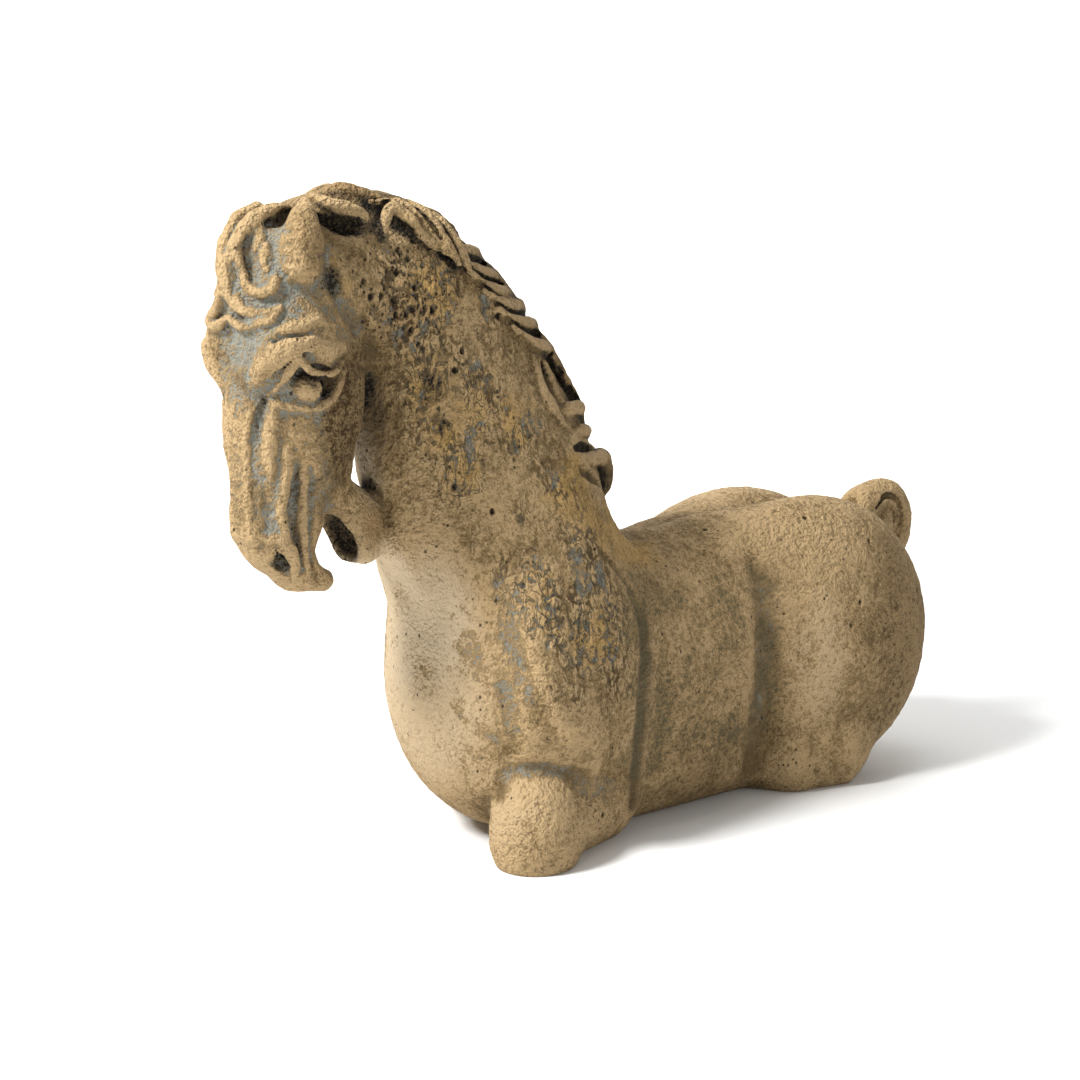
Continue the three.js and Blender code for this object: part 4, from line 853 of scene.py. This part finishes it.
    # Pale share: painted light on the lit front of the throat, the lit far side, the chest and the knee, and
    # the clay's own pale patch on the rump.
    pale_and_lit = ramp(p[:, 0], 6, 1) * spot_of(p, (0, -47, 50), (10, 15, 30)) + ramp(p[:, 0], -2, -8) * 0.35
    pale_and_lit += 0.55 * spot_of(p, (4, -44, 25), (19, 13, 26)) + 0.45 * spot_of(p, (8, -46, 40), (10, 10, 14))
    pale_and_lit += 0.35 * spot_of(p, (16, -34, 8), (10, 14, 12)) + 0.4 * spot_of(p, (18, 26, 24), (10, 10, 20))
    names = ("dirt_and_shade", "wear_and_highlights", "grey", "ochre", "brown_and_shade", "green", "pale_and_lit", "worm", "pitted")
    shares = (dirt_and_shade, wear_and_highlights, grey, ochre * (0.3 + 0.7 * near), brown_and_shade * (0.4 + 0.6 * near), green * near, pale_and_lit,
              worm, pitted)
    return {name: np.clip(share, 0, 1) for name, share in zip(names, shares)}


skin, faces = build_skin()
skin, *marks = surface_of(skin, faces)
paints = paints_of(skin, *marks)
skin[:, 2] = np.maximum(skin[:, 2], 0)
print("skin", len(skin), len(faces))
mesh = mesh_from("clay_horse", (skin - MIDDLE) * SCALE, faces)
for name, share in paints.items():
    layer = mesh.attributes.new(name, "FLOAT", "POINT")
    layer.data.foreach_set("value", share.astype(np.float32))
horse = bpy.data.objects.new("clay_horse", mesh)
bpy.context.scene.collection.objects.link(horse)
thinner = horse.modifiers.new("thin", "DECIMATE")
thinner.ratio = TRIANGLES / (2 * len(faces))
graph = bpy.context.evaluated_depsgraph_get()
thin = bpy.data.meshes.new_from_object(horse.evaluated_get(graph))
horse.modifiers.clear()
horse.data = thin
bpy.data.meshes.remove(mesh)
for polygon in thin.polygons:
    polygon.use_smooth = True
print("thinned", len(thin.vertices), len(thin.polygons))


# The material: tan wash dry-brushed over a blue-grey and brown ground, with dirt and painted shade in the
# hollows and some painted highlights and shade in patches.
# Sizes of its grain in metres, and the depth that full relief in it stands for.
SAND, GRIT, PINHOLE = 0.0011, 0.0026, 0.0019
TRACKS, STREAKS, CLOUDS = 0.0042, 0.006, 0.024
BUMP_DEPTH = 0.0030

def clay_material():
    material = bpy.data.materials.new("aged_clay")
    material.use_nodes = True
    tree = material.node_tree
    shader = tree.nodes["Principled BSDF"]
    shader.inputs["Roughness"].default_value = 0.88
    shader.inputs["Specular IOR Level"].default_value = 0.25
    place = tree.nodes.new("ShaderNodeTexCoord").outputs["Object"]

    def value_of(name):
        node = tree.nodes.new("ShaderNodeAttribute")
        node.attribute_name = name
        return node.outputs["Fac"]

    def plug(socket, source):
        if isinstance(source, (int, float)):
            socket.default_value = source
        elif isinstance(source, tuple):
            socket.default_value = (*source, 1)
        else:
            tree.links.new(source, socket)

    def maths(operation, a, b=0.0, c=0.0):
        node = tree.nodes.new("ShaderNodeMath")
        node.operation = operation
        for socket, source in zip(node.inputs, (a, b, c)):
            plug(socket, source)
        return node.outputs[0]

    def spread(source, low, high, start=0.0, end=1.0):
        node = tree.nodes.new("ShaderNodeMapRange")
        node.interpolation_type = "SMOOTHSTEP"
        for socket, item in zip(node.inputs, (source, low, high, start, end)):
            plug(socket, item)
        return node.outputs[0]

    def speckle(size, detail=2.0, roughness=0.5, stretch=(1, 1, 1), warp=0.0):
        turn = tree.nodes.new("ShaderNodeMapping")
        turn.inputs["Scale"].default_value = stretch
        tree.links.new(place, turn.inputs["Vector"])
        node = tree.nodes.new("ShaderNodeTexNoise")
        settings = {"Scale": 1 / size, "Detail": detail, "Roughness": roughness, "Distortion": warp}
        for name, item in settings.items():
            node.inputs[name].default_value = item
        tree.links.new(turn.outputs["Vector"], node.inputs["Vector"])
        return node.outputs["Fac"]

    def cells(size, stretch=(1, 1, 1)):
        turn = tree.nodes.new("ShaderNodeMapping")
        turn.inputs["Scale"].default_value = stretch
        tree.links.new(place, turn.inputs["Vector"])
        node = tree.nodes.new("ShaderNodeTexVoronoi")
        node.inputs["Scale"].default_value = 1 / size
        tree.links.new(turn.outputs["Vector"], node.inputs["Vector"])
        return node.outputs["Distance"], node.outputs["Color"]

    def mixed(share, under, over):
        node = tree.nodes.new("ShaderNodeMix")
        node.data_type = "RGBA"
        plug(node.inputs["Factor"], share)
        plug(node.inputs[6], under)
        plug(node.inputs[7], over)
        return node.outputs[2]

    def swing(source, share):
        return maths("MULTIPLY_ADD", source, share, -share / 2)

    dirt_and_shade, wear_and_highlights, grey, ochre, brown_and_shade, green, pale_and_lit, worm, pitted = (value_of(name) for name in paints)
    sand = speckle(SAND, 1.5, 0.5)
    grit = speckle(GRIT, 1.5, 0.5)
    streaks = speckle(STREAKS, 4, 0.6, (1, 1, 0.45), 0.8)
    broad = speckle(CLOUDS, 5, 0.6)
    track = maths("ABSOLUTE", maths("SUBTRACT", speckle(TRACKS, 1, 0.5, (1, 1, 0.5), 1.2), 0.5))
    wormed = spread(maths("ADD", worm, swing(grit, 2.2)), 0.3, 0.8)
    crack = maths("MULTIPLY", spread(track, 0.05, 0.01), wormed)

    gap, tint = cells(PINHOLE, (1, 1, 0.75))
    chance = maths("MULTIPLY_ADD", pitted, 0.45, maths("MULTIPLY_ADD", spread(broad, 0.4, 0.7), 0.18, 0.03))
    pits = maths("MULTIPLY", spread(gap, 0.42, 0.25), maths("LESS_THAN", tint, chance))

    # Worn share: tan on the raised clay with its painted highlights, more on pale parts where light is
    # painted, and less in the tracks.
    worn_and_lit = maths("ADD", wear_and_highlights, swing(grit, 1.3))
    worn_and_lit = maths("ADD", worn_and_lit, swing(sand, 1.7))
    worn_and_lit = maths("ADD", worn_and_lit, swing(broad, 1.0))
    worn_and_lit = maths("MULTIPLY_ADD", pale_and_lit, 0.35, worn_and_lit)
    worn_and_lit = maths("MULTIPLY_ADD", crack, -0.6, worn_and_lit)

    ground = mixed(spread(maths("ADD", green, swing(streaks, 1.6)), 0.2, 0.9),
                   (0.136, 0.088, 0.036), (0.112, 0.094, 0.048))
    ground = mixed(spread(maths("ADD", grey, swing(broad, 2.4)), 0.35, 0.75), ground, (0.205, 0.205, 0.172))
    # Dark brown ground where the brown share is: brown clay and, on the rump and belly, painted shade.
    ground = mixed(spread(maths("ADD", brown_and_shade, swing(streaks, 1.6)), 0.35, 0.9), ground, (0.066, 0.036, 0.012))
    middle = mixed(spread(maths("ADD", ochre, swing(broad, 1.6)), 0.25, 0.8),
                   (0.245, 0.165, 0.075), (0.275, 0.172, 0.058))
    light = mixed(spread(maths("ADD", ochre, swing(broad, 1.6)), 0.25, 0.8),
                  (0.415, 0.288, 0.146), (0.430, 0.272, 0.100))
    # Pale tan where the pale share is, mostly painted light, and darker brown where the brown share is,
    # partly painted shade.
    light = mixed(spread(pale_and_lit, 0.1, 0.9), light, (0.500, 0.392, 0.255))
    light = mixed(spread(brown_and_shade, 0.3, 1.0, 0.0, 0.7), light, (0.220, 0.128, 0.046))
    colour = mixed(spread(worn_and_lit, -0.15, 0.4), ground, middle)
    colour = mixed(spread(worn_and_lit, 0.35, 0.95), colour, light)
    colour = mixed(maths("MULTIPLY", crack, 0.65), colour, (0.075, 0.060, 0.036))
    colour = mixed(maths("MULTIPLY", pits, 0.85), colour, (0.035, 0.025, 0.014))
    # Dirt and painted shade darken the colour, down to near black in deep slots and hollows.
    grime_and_shade = maths("ADD", dirt_and_shade, swing(sand, 1.2))
    grime_and_shade = maths("ADD", grime_and_shade, swing(grit, 1.0))
    colour = mixed(spread(grime_and_shade, 0.15, 0.8, 0.0, 0.7), colour, (0.062, 0.048, 0.028))
    colour = mixed(spread(grime_and_shade, 0.75, 1.1), colour, (0.012, 0.009, 0.006))
    tree.links.new(colour, shader.inputs["Base Color"])

    bump = tree.nodes.new("ShaderNodeBump")
    bump.inputs["Strength"].default_value = 1.0
    bump.inputs["Distance"].default_value = BUMP_DEPTH
    rough = maths("MULTIPLY_ADD", pale_and_lit, -0.5, maths("MULTIPLY_ADD", grey, -0.35, 1.0))
    height = maths("MULTIPLY_ADD", grit, 1.2, maths("MULTIPLY", sand, 0.6))
    height = maths("MULTIPLY", height, rough)
    height = maths("MULTIPLY_ADD", crack, -0.18, height)
    height = maths("MULTIPLY_ADD", pits, -0.3, height)
    tree.links.new(height, bump.inputs["Height"])
    tree.links.new(bump.outputs["Normal"], shader.inputs["Normal"])
    return material


thin.materials.clear()
thin.materials.append(clay_material())

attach(horse, "root")
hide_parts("horse")


# The set: a pale floor that curves up behind, soft lights, and the camera

AZIMUTH = math.radians(52)


def make_floor():
    wide, near, far, rise, bend = 3.0, -2.5, 2.2, 2.6, 0.8
    profile = [(near, 0.0), (far - bend, 0.0)]
    for n in range(1, 13):
        angle = math.pi / 2 * n / 12
        profile.append((far - bend + bend * math.sin(angle), bend * (1 - math.cos(angle))))
    profile.append((far, rise))
    spots = [(x, y, z) for y, z in profile for x in (-wide, wide)]
    faces = [(2 * n, 2 * n + 1, 2 * n + 3, 2 * n + 2) for n in range(len(profile) - 1)]
    floor_mesh = bpy.data.meshes.new("floor")
    floor_mesh.from_pydata(spots, [], faces)
    for polygon in floor_mesh.polygons:
        polygon.use_smooth = True
    floor = bpy.data.objects.new("floor", floor_mesh)
    floor.rotation_euler = (0, 0, AZIMUTH)
    paint = bpy.data.materials.new("floor_paint")
    paint.use_nodes = True
    paint.node_tree.nodes["Principled BSDF"].inputs["Base Color"].default_value = (0.86, 0.86, 0.85, 1)
    paint.node_tree.nodes["Principled BSDF"].inputs["Roughness"].default_value = 0.8
    floor_mesh.materials.append(paint)
    bpy.context.scene.collection.objects.link(floor)


def aim(thing, target):
    direction = np.array(target, float) - np.array(thing.location)
    flat = math.hypot(direction[0], direction[1])
    heading = math.atan2(direction[0], -direction[1]) + math.pi
    thing.rotation_euler = (math.atan2(flat, -direction[2]), 0, heading)


def make_light(name, place, size, power, target=(0, 0, 0.14)):
    lamp = bpy.data.lights.new(name, "AREA")
    lamp.shape = "DISK"
    lamp.size = size
    lamp.energy = power
    light = bpy.data.objects.new(name, lamp)
    light.location = place
    aim(light, target)
    bpy.context.scene.collection.objects.link(light)


make_floor()
world = bpy.data.worlds.new("studio")
world.use_nodes = True
world.node_tree.nodes["Background"].inputs["Color"].default_value = (1, 1, 1, 1)
world.node_tree.nodes["Background"].inputs["Strength"].default_value = 0.3
bpy.context.scene.world = world
# Each lamp: its name, place and width in metres, power in watts, and what it points at
make_light("key", (-0.1, -1.4, 1.4), 0.5, 56)
make_light("fill", (1.9, 0.4, 0.9), 1.2, 6)
make_light("top", (-0.3, 0.1, 2.0), 1.4, 16)
make_light("wall", (-0.75, 0.6, 1.5), 1.2, 40, (-1.9, 1.45, 0.9))

PITCH = math.radians(8.269)
CAMERA_SPOT = (0.59889, -0.53090 - MIDDLE[1] * HEIGHT / 100, 0.258)
lens = bpy.data.cameras.new("camera")
lens.lens = 50
lens.sensor_width = 36
lens.sensor_fit = "HORIZONTAL"
camera = bpy.data.objects.new("camera", lens)
camera.location = CAMERA_SPOT
camera.rotation_euler = (math.pi / 2 - PITCH, 0, AZIMUTH)
bpy.context.scene.collection.objects.link(camera)
bpy.context.scene.camera = camera
bpy.context.scene.view_settings.view_transform = "Standard"
